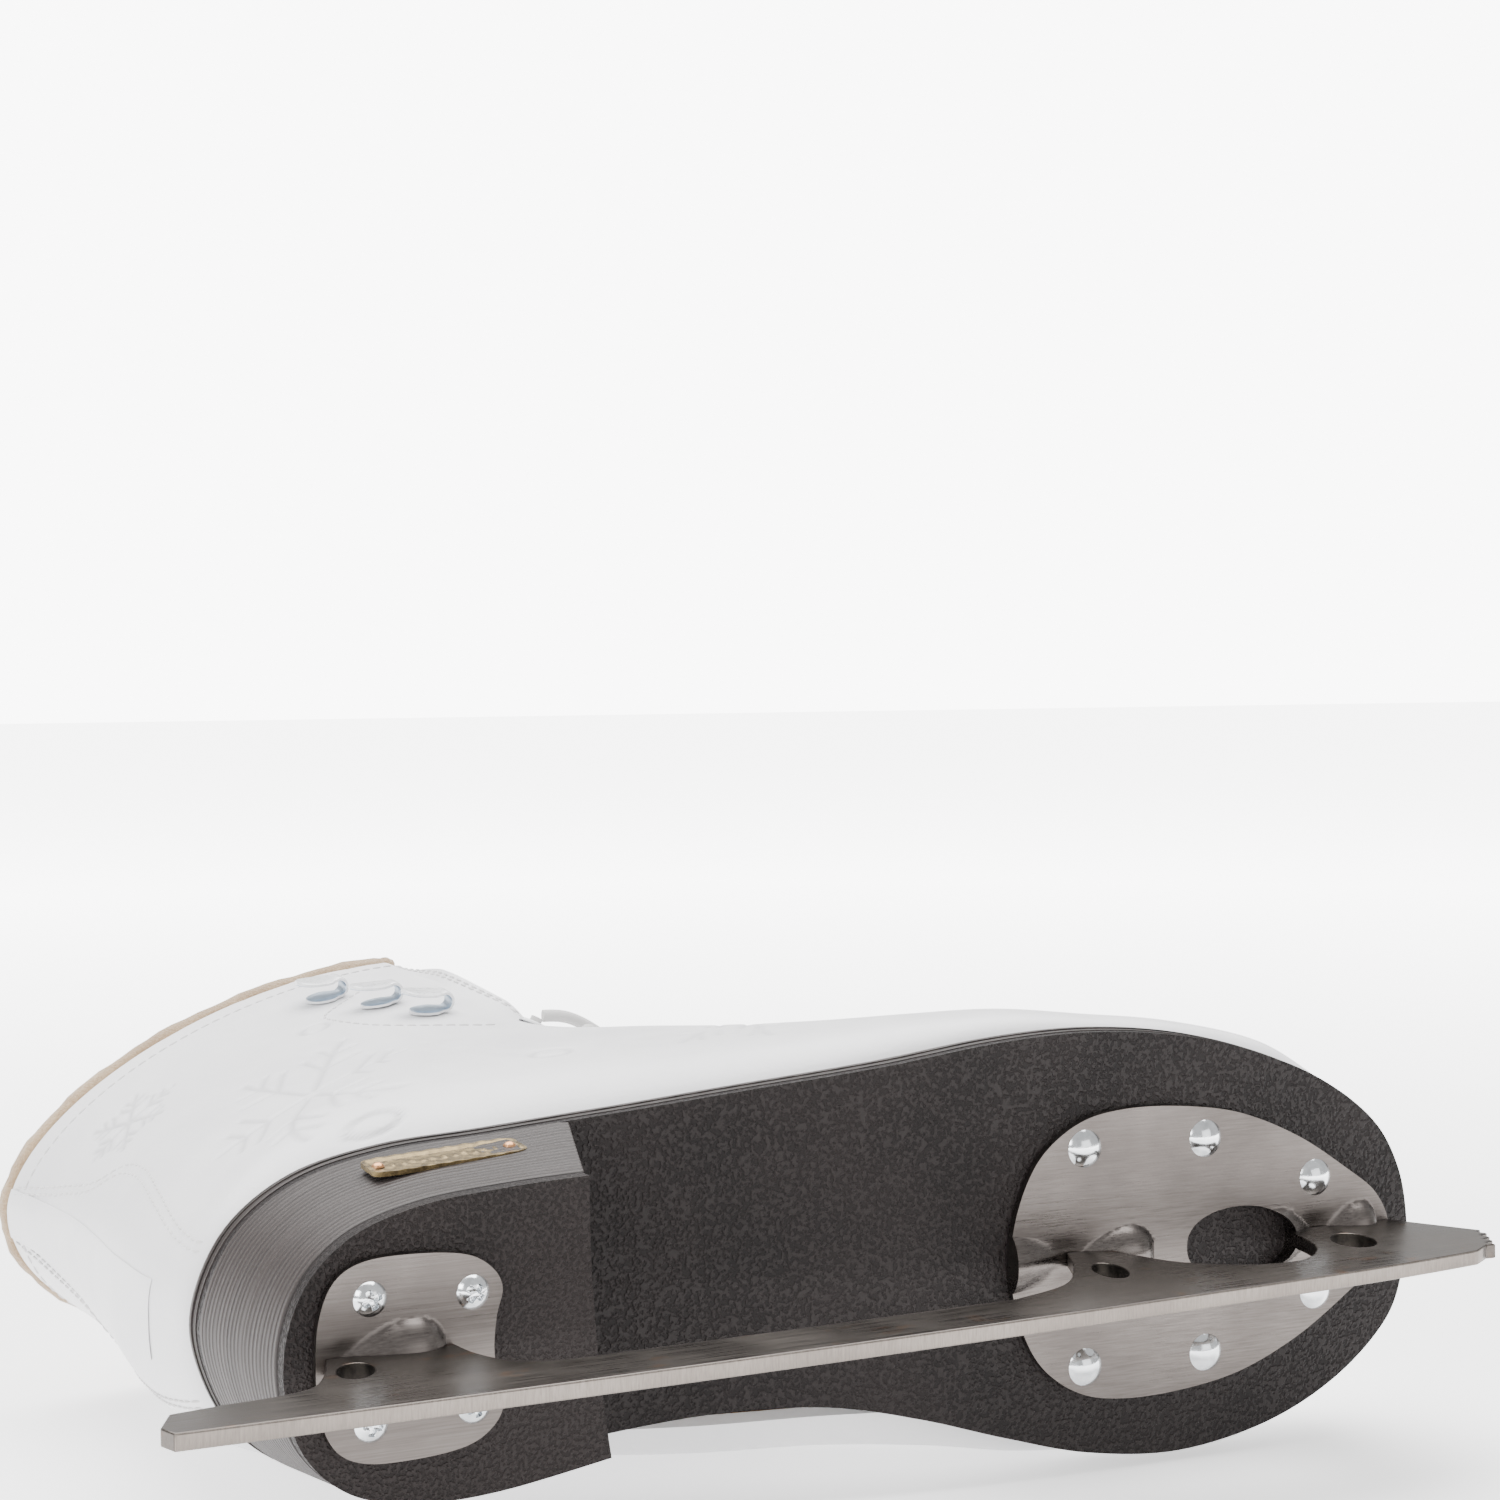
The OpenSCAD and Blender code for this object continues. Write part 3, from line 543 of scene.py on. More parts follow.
def heel_outline(v):
    p = HEEL_LOW + v * (HEEL_HIGH - HEEL_LOW)
    sides = open_curve(p, 10)
    a, b = sides[-1], sides[0]
    k = np.linspace(0, 1, 13)[1:-1]
    breast = a + np.outer(k, b - a)
    breast[:, 0] -= 4.8 * k * (1 - k)
    return np.vstack([sides, breast])


def heel_v(y):
    return (y - HEEL_Y0) / (HEEL_Y1 - HEEL_Y0)


HEEL_CENTRE = (-25, 0)
SIDE_POINTS = 101


def seat_outline():
    """The heel's outline where it meets the sole: flush with the sole's own edge, except at the breast."""
    rim = inset(closed_curve(SOLE_PTS, 8), 0.35) - HEEL_CENTRE
    rim_angle = np.arctan2(rim[:, 1], rim[:, 0])
    order = np.argsort(rim_angle)
    p = heel_outline(0.6)
    q = p[:SIDE_POINTS] - HEEL_CENTRE
    r = np.interp(np.arctan2(q[:, 1], q[:, 0]), rim_angle[order], np.linalg.norm(rim, axis=1)[order])
    size = np.linalg.norm(q, axis=1)
    p[:SIDE_POINTS] = HEEL_CENTRE + q * np.minimum(r / size, 1 + 5 / size)[:, None]
    k = np.linspace(0, 1, 13)[1:-1]
    p[SIDE_POINTS:] = p[SIDE_POINTS - 1] + np.outer(k, p[0] - p[SIDE_POINTS - 1])
    return p


def build_heel():
    rings = 30
    base = HEEL_Y0 + LIFT_T
    foot = heel_outline(heel_v(base))
    top = seat_outline()
    rows = []
    for s in np.linspace(0, 1, rings):
        guess = foot + (top - foot) * s
        y = base + (sole_y(guess[:, 0]) - base) * s
        rows.append(np.stack([guess[:, 0], y, guess[:, 1]], 1))
    n = len(rows[0])
    v = np.vstack(rows)
    f = grid_faces(rings, n, wrap=True)
    f += [tuple(range(n)), tuple(range((rings - 1) * n, rings * n))[::-1]]
    piece("heel_block", v, f, HEEL, "heel_leather", ["heel_stack"], bevel=0.25, segments=2)
    outline = heel_outline(heel_v(HEEL_Y0 + LIFT_T / 2))
    solid = plate_solid([outline], [], [],
                        lambda x, z: np.stack([x, np.full_like(x, HEEL_Y0), z], 1),
                        lambda x, z: np.stack([x, np.full_like(x, HEEL_Y0 + LIFT_T), z], 1))
    piece("heel_top_lift", *solid, LIFT, "sole_leather", ["heel_lift"], bevel=0.2, segments=3)


build_heel()

# ---------------------------------------------------------------- steel plates, rivets and screws
PLATE_HALF = [[101.5, 0], [103.5, 12], [109, 22.5], [118.5, 29.3], [130, 31.6], [145, 31.2], [160, 28.6],
              [175, 22.4], [188, 14.2], [196, 8], [199.5, 0]]
HEEL_HALF = [[-57, 0], [-56.3, 9], [-53.2, 15.8], [-47, 18.9], [-36, 19.2], [-27, 18], [-22, 15],
             [-20, 11], [-21.2, 6], [-21.8, 0]]


def both_halves(p):
    return p + [[x, -z] for x, z in p[-2:0:-1]]


def hump(x, z, x0, a, b, h, power=0.85):
    u = (x - x0) / a
    u = u - 0.42 * (1 - u * u)
    return h * np.clip(1 - u * u - (z / b) ** 2, 0, 1) ** power


def stamped(x, z, pillows, dents):
    out = np.zeros_like(x)
    for p in pillows:
        out = np.maximum(out, hump(x, z, *p))
    for x0, a, b, h in dents:
        out = out - h * np.exp(-((x - x0) / a) ** 2 - (z / b) ** 4)
    return out


def on_plate(x, y, z):
    """From the sole plate's own frame, which slopes with the forepart."""
    c = 1 / math.hypot(1, PLATE_SLOPE)
    s = PLATE_SLOPE * c
    return np.stack([PLATE_X + (x - PLATE_X) * c - y * s, PLATE_Y + (x - PLATE_X) * s + y * c, z], 1)


def build_plates():
    a = np.linspace(0, 2 * math.pi, 48, endpoint=False)
    window = np.stack([159.3 + 13.6 * np.cos(a), 8 * np.sign(np.sin(a)) * np.abs(np.sin(a)) ** 0.85], 1)
    pillows = [(127.5, 9.8, 6.2, 3.7), (189, 7.2, 6.4, 3.7)]
    dents = [(114.5, 3.5, 4, 0.4), (179.5, 3.2, 4, 0.4)]
    cuts_x = [*np.arange(104, 120, 2.0), *np.arange(116.9, 139, 0.6), *np.arange(174, 198, 0.6)]
    cuts_z = list(np.arange(-12, 12.1, 0.6))
    solid = plate_solid([closed_curve(both_halves(PLATE_HALF), 8), window], cuts_x, cuts_z,
                        lambda x, z: on_plate(x, -stamped(x, z, pillows, dents), z),
                        lambda x, z: on_plate(x, np.full_like(x, PLATE_T), z))
    piece("sole_plate_steel", *solid, PLATE, "plate_steel", ["sole_plate"], sharp=50,
          bevel=0.45, segments=3)
    pillows = [(-42, 10.8, 7.2, 3.7)]
    dents = [(-51.5, 2.6, 4, 0.35)]
    cuts_x = list(np.arange(-56, -29, 0.6))
    solid = plate_solid([closed_curve(both_halves(HEEL_HALF), 8)], cuts_x, cuts_z,
                        lambda x, z: np.stack([x, SEAT_Y - stamped(x, z, pillows, dents), z], 1),
                        lambda x, z: np.stack([x, np.full_like(x, SEAT_Y + PLATE_T), z], 1))
    piece("heel_plate_steel", *solid, PLATE, "plate_steel", ["heel_plate"], sharp=50,
          bevel=0.45, segments=3)


build_plates()
RIVETS = [[119.9, 23.7], [150.5, 23.7], [179.5, 12.8]]
SCREWS = [[-46.4, 11.7], [-26, 10.8]]
RIVET_R = 4.1
SCREW_R = 3.3


def dome(radius, height, slot_turn=None):
    """A domed head with its flat side at y = 0, pointing down Y, and a cross recess where it is turned."""
    rings = 22
    segs = 64
    v, ball = [], (radius ** 2 + height ** 2) / (2 * height)
    for i in range(rings + 1):
        r = radius * math.sin(math.pi / 2 * i / rings)
        for j in range(segs):
            a = 2 * math.pi * j / segs
            u, w = r * math.cos(a), r * math.sin(a)
            y = -(math.sqrt(max(ball ** 2 - r * r, 0)) - (ball - height))
            if slot_turn is not None:
                c, s = math.cos(slot_turn), math.sin(slot_turn)
                p, q = abs(u * c + w * s), abs(w * c - u * s)
                wall = max(min((0.62 - min(p, q)) / 0.14, (1.95 - max(p, q)) / 0.3), -1)
                y += 1.5 * float(ramp(wall)) * (1 - 0.35 * max(p, q) / 1.95)
            v.append((u, min(y, 0), w))
    f = grid_faces(rings + 1, segs, wrap=True)
    f.append(tuple(range(rings * segs, (rings + 1) * segs)))
    return np.array(v), f


def build_heads():
    heads = []
    for x, z in RIVETS:
        for s in (-1, 1):
            v, f = dome(RIVET_R, 1.75)
            w = on_plate(v[:, 0] + x, v[:, 1] - 0.02, v[:, 2] + s * z)
            heads.append((w, f))
    piece("rivet_heads", *merge(heads), BRIGHT, "fastener_steel", ["sole_rivets"], sharp=60)
    heads = []
    for k, (x, z) in enumerate(SCREWS):
        for s in (-1, 1):
            v, f = dome(SCREW_R, 1.6, slot_turn=0.12 + 0.5 * k + 0.3 * s)
            heads.append((v + np.array([x, SEAT_Y - 0.02, s * z]), f))
    piece("screw_heads", *merge(heads), BRIGHT, "fastener_steel", ["heel_screws"], sharp=50)


build_heads()

# ---------------------------------------------------------------- blade
ROCKER_R = 3550
EDGE_MID = -8
FRONT_ROCKER_X = 150
FRONT_ROCKER_R = 600
RUNNER_H = 15.6
BLADE_HALF = 1.6
GRIND_DEPTH = 0.35


def edge_y(x):
    front = np.maximum(x - FRONT_ROCKER_X, 0)
    return (x - EDGE_MID) ** 2 / (2 * ROCKER_R) + front ** 2 / (2 * FRONT_ROCKER_R)


def face_y(x):
    return PLATE_Y + PLATE_SLOPE * (x - PLATE_X)


BLADE_SLOTS = [[113.5, 29, 3.6, 7], [177.5, 28.5, 5, 7], [-53, 26, 3.6, 5.5]]


def blade_loops():
    low_edge = [[x, edge_y(x)] for x in np.linspace(-93.4, 194, 90)]
    teeth = [[202 + 2.1 * i - s * 0.9, 10.6 + 3.2 * i + s * 2.4] for i in range(4) for s in (0, 1)]
    front_arch = open_curve([[171.5, face_y(171.5)], [166.5, 28], [157, 19], [147, 18.4], [138, 22.6],
                             [130, 31], [125, face_y(125)]], 12)
    neck = open_curve([[115.5, face_y(115.5)], [109, 36], [98, 23], [82, 16.6]], 12)
    top = [[x, edge_y(x) + RUNNER_H] for x in np.linspace(74, -14, 40)]
    rear_front = open_curve([[-19, 16.4], [-25.5, 20], [-29, 28], [-30, SEAT_Y]], 10)
    rear_back = open_curve([[-55, SEAT_Y], [-59, 26], [-64, 18.4], [-72, 15.6]], 10)
    outer = low_edge + [[197, 9.2], [199.5, 11]] + teeth
    outer += [[209.4, 23.6], [203.5, 35], [199.5, face_y(199.5)], [171.5, face_y(171.5)]]
    outer += front_arch.tolist()[1:] + neck.tolist() + top + rear_front.tolist() + rear_back.tolist()
    outer += [[-82, 14.8], [-90.8, 13.4], [-94.6, 5.4]]
    loops = [outer]
    for x, y, a, b in BLADE_SLOTS:
        k = np.linspace(0, 2 * math.pi, 40, endpoint=False)
        loops.append(np.stack([x + a * np.cos(k) + 0.25 * b * np.sin(k), y + b * np.sin(k)], 1).tolist())
    return loops


def build_blade():
    v, f = plate_solid(blade_loops(), [], [],
                       lambda x, y: np.stack([x, y, np.full_like(x, -BLADE_HALF)], 1),
                       lambda x, y: np.stack([x, y, np.full_like(x, BLADE_HALF)], 1))
    ob = piece("blade_steel_body", v, f, BLADE_SIDE, "blade_steel", ["blade"], sharp=30, bevel=0.3)
    ob.data.materials.append(BLADE_EDGE)
    ob.data.materials.append(SLOT_SHADE)
    for p in ob.data.polygons:
        c = np.array(p.center) / MM + ORIGIN
        if abs(p.normal.z) < 0.5 and c[1] < edge_y(c[0]) + 1.5 and c[0] < 200:
            p.material_index = 1
        # the hole walls get the near-black steel: painted shade inside the holes
        elif abs(p.normal.z) < 0.5 and any(abs(c[0] - x) < a + 3 and abs(c[1] - y) < b + 0.5
                                           for x, y, a, b in BLADE_SLOTS):
            p.material_index = 2
    # the running edge is ground hollow: two narrow rails beside a shallow groove
    x = np.linspace(-93, 193, 140)
    across = np.linspace(-BLADE_HALF + 0.35, BLADE_HALF - 0.35, 9)
    z = np.tile(across, (len(x), 1))
    lift = -0.06 - GRIND_DEPTH * (np.abs(z) / across[-1]) ** 2 * 0.2
    outer = np.stack([np.tile(x[:, None], (1, 9)), edge_y(x)[:, None] + lift, z], 2)
    inner = outer + np.array([0, 0.3, 0])
    piece("running_edge_ground", *closed_shell(outer, inner), BLADE_EDGE, "blade_steel", sharp=30)


build_blade()

# ---------------------------------------------------------------- the upper's skin, repeated from the frame


def low(x):
    return float(sole_y(x)) + SOLE_T + 0.3


SECTIONS = np.array([
    [208.6, 61, 208.4, 60, 0.8, 0.8, 0.5, 2, 2, 2],
    [206.6, 70, 206.8, low(206.8), 17, 15.4, 0.55, 2.2, 3, 3],
    [201, 77.5, 201.5, low(201.5), 26.4, 24.6, 0.6, 2.3, 3.6, 3.6],
    [190.5, 82.5, 190.5, low(190.5), 33.4, 32, 0.62, 2.3, 4.2, 4.2],
    [176, 86, 175.5, low(175.5), 42, 38.5, 0.64, 2.3, 4.5, 4.5],
    [157, 90, 155, low(155), 47, 44, 0.65, 2.3, 4.5, 4.5],
    [138, 95.5, 133, low(133), 49.6, 46.6, 0.66, 2.3, 4.5, 4.5],
    [121, 102.5, 111, low(111), 51.5, 45.6, 0.65, 2.3, 4.5, 4.5],
    [106, 111.5, 88, low(88), 50.8, 42.4, 0.62, 2.3, 4.5, 4.5],
    [92.5, 122.5, 63, low(63), 48.6, 41.8, 0.48, 2.2, 4.4, 4.4],
    [80.5, 135, 36, low(36), 46.8, 43.2, 0.38, 2.2, 4.2, 4.2],
    [70, 147.5, 8, low(8), 45.8, 43.4, 0.3, 2.1, 3.8, 3.8],
    [61.5, 159.5, -26, low(-26), 44.8, 41.8, 0.25, 2.1, 3.2, 3.2],
    [54.5, 170.5, -62, low(-62), 44.4, 42.6, 0.18, 2.1, 2.5, 2.9],
    [49, 180.5, -70.5, 93, 45.2, 42.4, 0.14, 2.1, 2, 2.8],
    [45, 190, -71.5, 121, 46.4, 42.2, 0.12, 2.1, 1.9, 2.7],
    [42, 199.5, -69.5, 148, 47.8, 42, 0.11, 2.1, 1.8, 2.5],
    [40, 209, -68.5, 173, 48.5, 42, 0.1, 2.1, 1.75, 2.4],
    [38.5, 220, -70, 197, 50.2, 42.2, 0.1, 2.1, 1.7, 2.3],
    [37.5, 233, -73.5, 219, 52.6, 42.8, 0.1, 2.1, 1.68, 2.05]])
LAST = len(SECTIONS) - 1
THROAT = 8.7
LEATHER = 2.2
LINING = 2.5
LINING_D = LEATHER + 1.5
FLARE_OUT = 6
FLARE_IN = 2
FLARE_SPAN = 34


def section(t):
    t = np.asarray(t, float)
    i = np.clip(np.floor(t).astype(int), 0, LAST - 1)
    k = (t - i)[..., None]
    before, after = np.maximum(i - 1, 0), np.minimum(i + 2, LAST)
    return cr(SECTIONS[before], SECTIONS[i], SECTIONS[i + 1], SECTIONS[after], k)


EYESTAY_AT_THROAT = 24
EYESTAY_SPREAD = 52
UNDERSIDE_OPEN = 148


def eyestay(t):
    return EYESTAY_AT_THROAT + EYESTAY_SPREAD * ramp((np.asarray(t) - THROAT) / 8)


def underside(t):
    """The leather's lower edge. It closes at section 13, where the frame's closes at 13.6."""
    return UNDERSIDE_OPEN + (180 - UNDERSIDE_OPEN) * ramp(np.asarray(t) - 12)


def flare(t, phi):
    size = ramp((t - 12.8) / 1.5) * (1 - 0.95 * ramp((t - 16.5) / 2.5))
    size = size * np.where(phi > 0, FLARE_OUT, FLARE_IN)
    return size * np.clip(1 - (np.abs(phi) - eyestay(t)) / FLARE_SPAN, 0, 1) ** 2


def bulge(v, p):
    return np.sign(v) * np.abs(v) ** p


def skin(t, angle, d):
    t, angle, d = np.broadcast_arrays(*(np.asarray(v, float) for v in (t, angle, d)))
    phi = np.where(angle > 180, angle - 360, angle)
    s = section(t)
    n, f = s[..., :2], s[..., 2:4]
    length = np.linalg.norm(f - n, axis=-1)[..., None]
    e = (f - n) / length
    co, si = np.cos(np.radians(phi)), np.sin(np.radians(phi))
    q = np.where(co >= 0, s[..., 7], np.where(si >= 0, s[..., 8], s[..., 9]))
    reach = s[..., 6] * length[..., 0]
    run = np.where(co >= 0, reach, length[..., 0] - reach)
    w = np.where(si >= 0, s[..., 4], s[..., 5])
    c = n + e * reach[..., None] - e * (np.maximum(run - d, 0.2) * bulge(co, 2 / q))[..., None]
    wing = np.where(np.abs(phi) <= 150, flare(t, phi), 0)
    z = np.maximum(w - d, 0.2) * bulge(si, 2 / q) + np.sign(phi) * wing
    return np.stack([c[..., 0], c[..., 1], z], -1)


def frame_at(t, phi, d=0.0):
    p = skin(t, phi, d)
    u = skin(t + 0.05, phi, d) - skin(t - 0.05, phi, d)
    v = skin(t, phi + 1, d) - skin(t, phi - 1, d)
    n = np.cross(u, v)
    n /= np.linalg.norm(n)
    u = u / np.linalg.norm(u)
    return p, n, u, np.cross(n, u)


def outside(t, phi, h):
    p, n, _, _ = frame_at(t, phi)
    return p + h * n


# ---------------------------------------------------------------- marks pressed into the leather


def flat_line(t0, phi0, points):
    """Points in millimetres along and round the skin from one place, as places on the skin."""
    per_t = np.linalg.norm(skin(t0 + 0.2, phi0, 0) - skin(t0 - 0.2, phi0, 0)) / 0.4
    per_phi = np.linalg.norm(skin(t0, phi0 + 2, 0) - skin(t0, phi0 - 2, 0)) / 4
    p = np.asarray(points, float)
    return np.stack([t0 + p[:, 0] / per_t, phi0 + p[:, 1] / per_phi], 1)


def snowflake(t0, phi0, size, turn):
    """Six plain arms with two pairs of side twigs each."""
    lines = []
    for k in range(6):
        a = turn + k * math.pi / 3
        tip = np.array([math.cos(a), math.sin(a)])
        lines.append([0.08 * size * tip, size * tip])
        for where, twig in ((0.45, 0.34), (0.7, 0.22)):
            for side in (-1, 1):
                b = a + side * math.pi / 3.4
                root = where * size * tip
                lines.append([root, root + twig * size * np.array([math.cos(b), math.sin(b)])])
    return [flat_line(t0, phi0, along(q, 0.6)[0]) for q in lines]


def ring(t0, phi0, r):
    a = np.linspace(0, 2 * math.pi, 40)
    return [flat_line(t0, phi0, np.stack([r * np.cos(a), r * np.sin(a)], 1))]


MARKS = {1: snowflake(14.0, 126, 34, 0.3) + snowflake(9.9, 72, 17, 0.1) + snowflake(17.3, 148, 13, 0.5)
         + ring(12.4, 136, 5) + ring(16.3, 115, 4) + ring(11.5, 105, 4),
         -1: snowflake(14.0, -122, 32, 0.3) + snowflake(9.9, -72, 16, 0.1) + ring(12.4, -132, 5)}
MARK_DEPTH = 0.6
MARK_WIDTH = 0.8


def pressed(t, phi):
    """Extra depth below the skin where a mark is pressed in."""
    lines = [q for side in (1, -1) for q in MARKS[side]]
    dots = np.vstack([skin(q[:, 0], q[:, 1], 0) for q in lines])
    tree = kdtree.KDTree(len(dots))
    for i, p in enumerate(dots):
        tree.insert(p, i)
    tree.balance()
    p = skin(t, phi, 0).reshape(-1, 3)
    near = np.array([tree.find(q)[2] for q in p]).reshape(np.shape(t))
    return MARK_DEPTH * np.exp(-(near / MARK_WIDTH) ** 2)


def wrinkles(p, size):
    """Slow waves in the leather, worth a few tenths of a millimetre."""
    x, y, z = p[..., 0], p[..., 1], p[..., 2]
    w = np.sin(x / 9.1 + y / 14.3 + 1.3) + np.sin(y / 7.7 - z / 11.9) + np.sin(z / 8.3 + x / 17.1 + 0.7)
    return size * w / 3


def panel_places(t0, t1, nt, pa, pb, nphi):
    t = np.linspace(t0, t1, nt)[:, None]
    k = np.linspace(0, 1, nphi)[None, :]
    a, b = pa(t), pb(t)
    phi = a + (b - a) * k
    return np.broadcast_to(t, phi.shape), phi


def panel_grid(t0, t1, nt, pa, pb, nphi, depth, wave=0.0, marks=0.0):
    t, phi = panel_places(t0, t1, nt, pa, pb, nphi)
    d = depth + marks + np.zeros(phi.shape)
    if wave:
        d = d + wrinkles(skin(t, phi, depth), wave)
    return skin(t, phi, d)


FINE = 1.0
# The leather stops below the frame's rim, and the collar roll fills the rest
RIM_T = LAST - 0.26


def fine(n):
    return max(8, int(n * FINE))


def leather_panel(name, t0, t1, pa, pb, nt, nphi, node):
    size = (t0, t1, fine(nt), pa, pb, fine(nphi))
    t, phi = panel_places(*size)
    marks = pressed(t, np.where(phi > 180, phi - 360, phi))
    outer = panel_grid(*size, 0.05, 0.12, marks)
    inner = panel_grid(*size, LEATHER)
    ob = piece(name, *closed_shell(outer, inner), WHITE, "white_leather", [node], sharp=50)
    # the pressed attribute carries the painted shade along the pressed lines into the leather's colour
    shade = ob.data.attributes.new("pressed", "FLOAT", "POINT")
    shade.data.foreach_set("value", np.concatenate([marks.ravel() / MARK_DEPTH, np.zeros(marks.size)]))


def const(v):
    return lambda t: np.full_like(t, v)


leather_panel("vamp_leather", 0, THROAT, const(-UNDERSIDE_OPEN), const(UNDERSIDE_OPEN), 260, 400, "vamp")
leather_panel("quarter_leather_lateral", THROAT, RIM_T, eyestay, underside, 330, 260, "quarter_lateral")
leather_panel("quarter_leather_medial", THROAT, RIM_T, lambda t: -underside(t), lambda t: -eyestay(t),
              330, 260, "quarter_medial")


def lining_piece(name, t0, t1, pa, pb, nt, nphi, node):
    outer = panel_grid(t0, t1, fine(nt), pa, pb, fine(nphi), LINING_D)
    inner = panel_grid(t0, t1, fine(nt), pa, pb, fine(nphi), LINING_D + LINING - 0.2, 0.25)
    return piece(name, *closed_shell(outer, inner), FLEECE, "fleece", [node], sharp=60)


lining_piece("vamp_fleece", 1, THROAT - 0.05, const(-170), const(170), 60, 90, "vamp_lining")
lining_piece("quarter_fleece", THROAT + 0.05, LAST, lambda t: eyestay(t) + 3, lambda t: 357 - eyestay(t),
             90, 150, "quarter_lining")


LAYER_GAP = 0.4
COUNTER_GAP = 0.7


def hidden_panel(name, t0, t1, pa, pb, gap, back, mat, slot, node):
    size = (t0, t1, fine(60), pa, pb, fine(80))
    outer = panel_grid(*size, LEATHER + gap, 0.04)
    inner = panel_grid(*size, LINING_D - back, 0.04)
    piece(name, *closed_shell(outer, inner), mat, slot, [node], sharp=60)


hidden_panel("toe_puff_shell", 0.8, 4, const(-132), const(132), LAYER_GAP, LAYER_GAP, FELT, "stiffener",
             "toe_puff")
hidden_panel("heel_counter_shell", 13.3, 16, const(118), const(242), COUNTER_GAP, LAYER_GAP / 2, FELT,
             "stiffener", "heel_counter")
hidden_panel("facing_strip_lateral", 9, 16, lambda t: eyestay(t) + 1, lambda t: eyestay(t) + 14, LAYER_GAP,
             LAYER_GAP, WHITE, "white_leather", "facing_lateral")
hidden_panel("facing_strip_medial", 9, 16, lambda t: -eyestay(t) - 14, lambda t: -eyestay(t) - 1, LAYER_GAP,
             LAYER_GAP, WHITE, "white_leather", "facing_medial")


def build_collar():
    """The lining's rolled edge between leather and cuff, all round the rim and down both fronts."""
    phi = np.linspace(78, 282, 90)
    rim_t = np.full_like(phi, LAST - 0.06)
    depth = LEATHER - 0.6
    p = np.array([skin(a, b, depth) for a, b in zip(rim_t, phi)])
    up = np.array([skin(LAST, b, depth) - skin(LAST - 0.4, b, depth) for b in phi])
    up /= np.linalg.norm(up, axis=1)[:, None]
    lump = 1 + 0.08 * np.sin(np.arange(len(phi)) * 0.9) + 0.05 * np.sin(np.arange(len(phi)) * 2.3)
    v, f = tube(p - up * 0.6, 2.5 * lump, 18)
    piece("collar_roll", v, f, FLEECE, "padding", ["collar_pad"], sharp=80)
    for s, name in ((1, "lateral"), (-1, "medial")):
        t = np.linspace(13.6, LAST - 0.05, 60)
        q = np.array([skin(a, s * (float(eyestay(a)) + 2.5), LEATHER + 1.4) for a in t])
        r = 1.7 * np.minimum(1, np.linspace(0.4, 3, 60))
        v, f = tube(q, r, 14)
        piece("front_roll_" + name, v, f, FLEECE, "fleece", sharp=80)


build_collar()


def backstay_piece():
    """Thinner than the frame's backstay, and starting higher up the heel."""
    outer = panel_grid(14.2, RIM_T, 90, const(172), const(188), 24, -0.25)
    inner = panel_grid(14.2, RIM_T, 90, const(172), const(188), 24, -0.02)
    piece("backstay_strip", *closed_shell(outer, inner), WHITE, "white_leather", ["backstay"],
          bevel=0.08)


backstay_piece()


# ---------------------------------------------------------------- stitching
STITCH_PITCH = 3.1
STITCH_LEN = 2.3
STITCH_R = 0.3


def stitches(name, lines, body="boot"):
    parts = []
    k = np.linspace(-0.5, 0.5, 5)
    r = STITCH_R * np.sqrt(np.maximum(1 - (2 * k) ** 4, 0.08))
    for line in lines:
        p, _ = along(line, STITCH_PITCH)
        for a, b in zip(p[:-1], p[1:]):
            u = (b - a) / np.linalg.norm(b - a)
            parts.append(tube(a + np.outer(k * STITCH_LEN, u), r, 6))
    return piece(name, *merge(parts), THREAD, "white_leather", sharp=80, body=body)


def offset_rows(t, phi, gap):
    """A double row: the line itself and one beside it, gap degrees away."""
    return [(t, phi), (t, phi + gap)]


def build_stitching():
    for s, name in ((1, "lateral"), (-1, "medial")):
        lines = []
        phi = np.linspace(80, 178, 60)
        lines += [(np.full_like(phi, LAST - 0.55), s * phi)]
        t = np.linspace(THROAT + 0.3, LAST - 0.5, 90)
        lines += offset_rows(t, s * (eyestay(t) + 4.5), s * 3.2)
        t = np.linspace(13.4, 17.9, 60)
        lines += [(t, s * (eyestay(t) + 36 - 14 * ramp((t - 16.6) / 1.3)))]
        heel_patch = open_curve(np.array([[18.6, 171], [17.6, 166], [16.9, 162], [16.3, 155], [15.5, 153.5],
                                          [14.7, 156], [13.9, 160.5], [13.2, 164]]), 12)
        lines += offset_rows(heel_patch[:, 0], s * heel_patch[:, 1], s * 2.2)
        stitches("stitching_" + name, [np.array([outside(float(a), float(b), 0.0) for a, b in zip(*line)])
                                       for line in lines])


build_stitching()


# ---------------------------------------------------------------- tongue
TONGUE_D = 9.1
TONGUE_T = 4
TONGUE_LINING = 2
TONGUE_ARC = 75
TONGUE_END = 20


def near(t):
    n = section(min(t, LAST))[:2]
    m = section(LAST - 0.5)[:2]
    end = section(LAST)[:2]
    return n + max(t - LAST, 0) * 2 * (end - m)


def inward(t):
    s = section(min(t, LAST))
    e = s[2:4] - s[:2]
    return e / np.linalg.norm(e)


def tongue_half(t):
    return 15 + 18 * float(ramp((t - 8) / 6)) - 9 * (max(t - 18.6, 0) / 1.4) ** 2


def tongue_hollow(t):
    return 5 + 9 * float(ramp((t - 8) / 5))


def tongue_point(t, q, d):
    a = math.radians(TONGUE_ARC * q)
    arc = math.radians(TONGUE_ARC)
    c = near(t) + inward(t) * (TONGUE_D + d + tongue_hollow(t) * (1 - math.cos(a)) / (1 - math.cos(arc)))
    return (c[0], c[1], (tongue_half(t) - d * abs(math.sin(a)) * 0.6) * math.sin(a) / math.sin(arc))


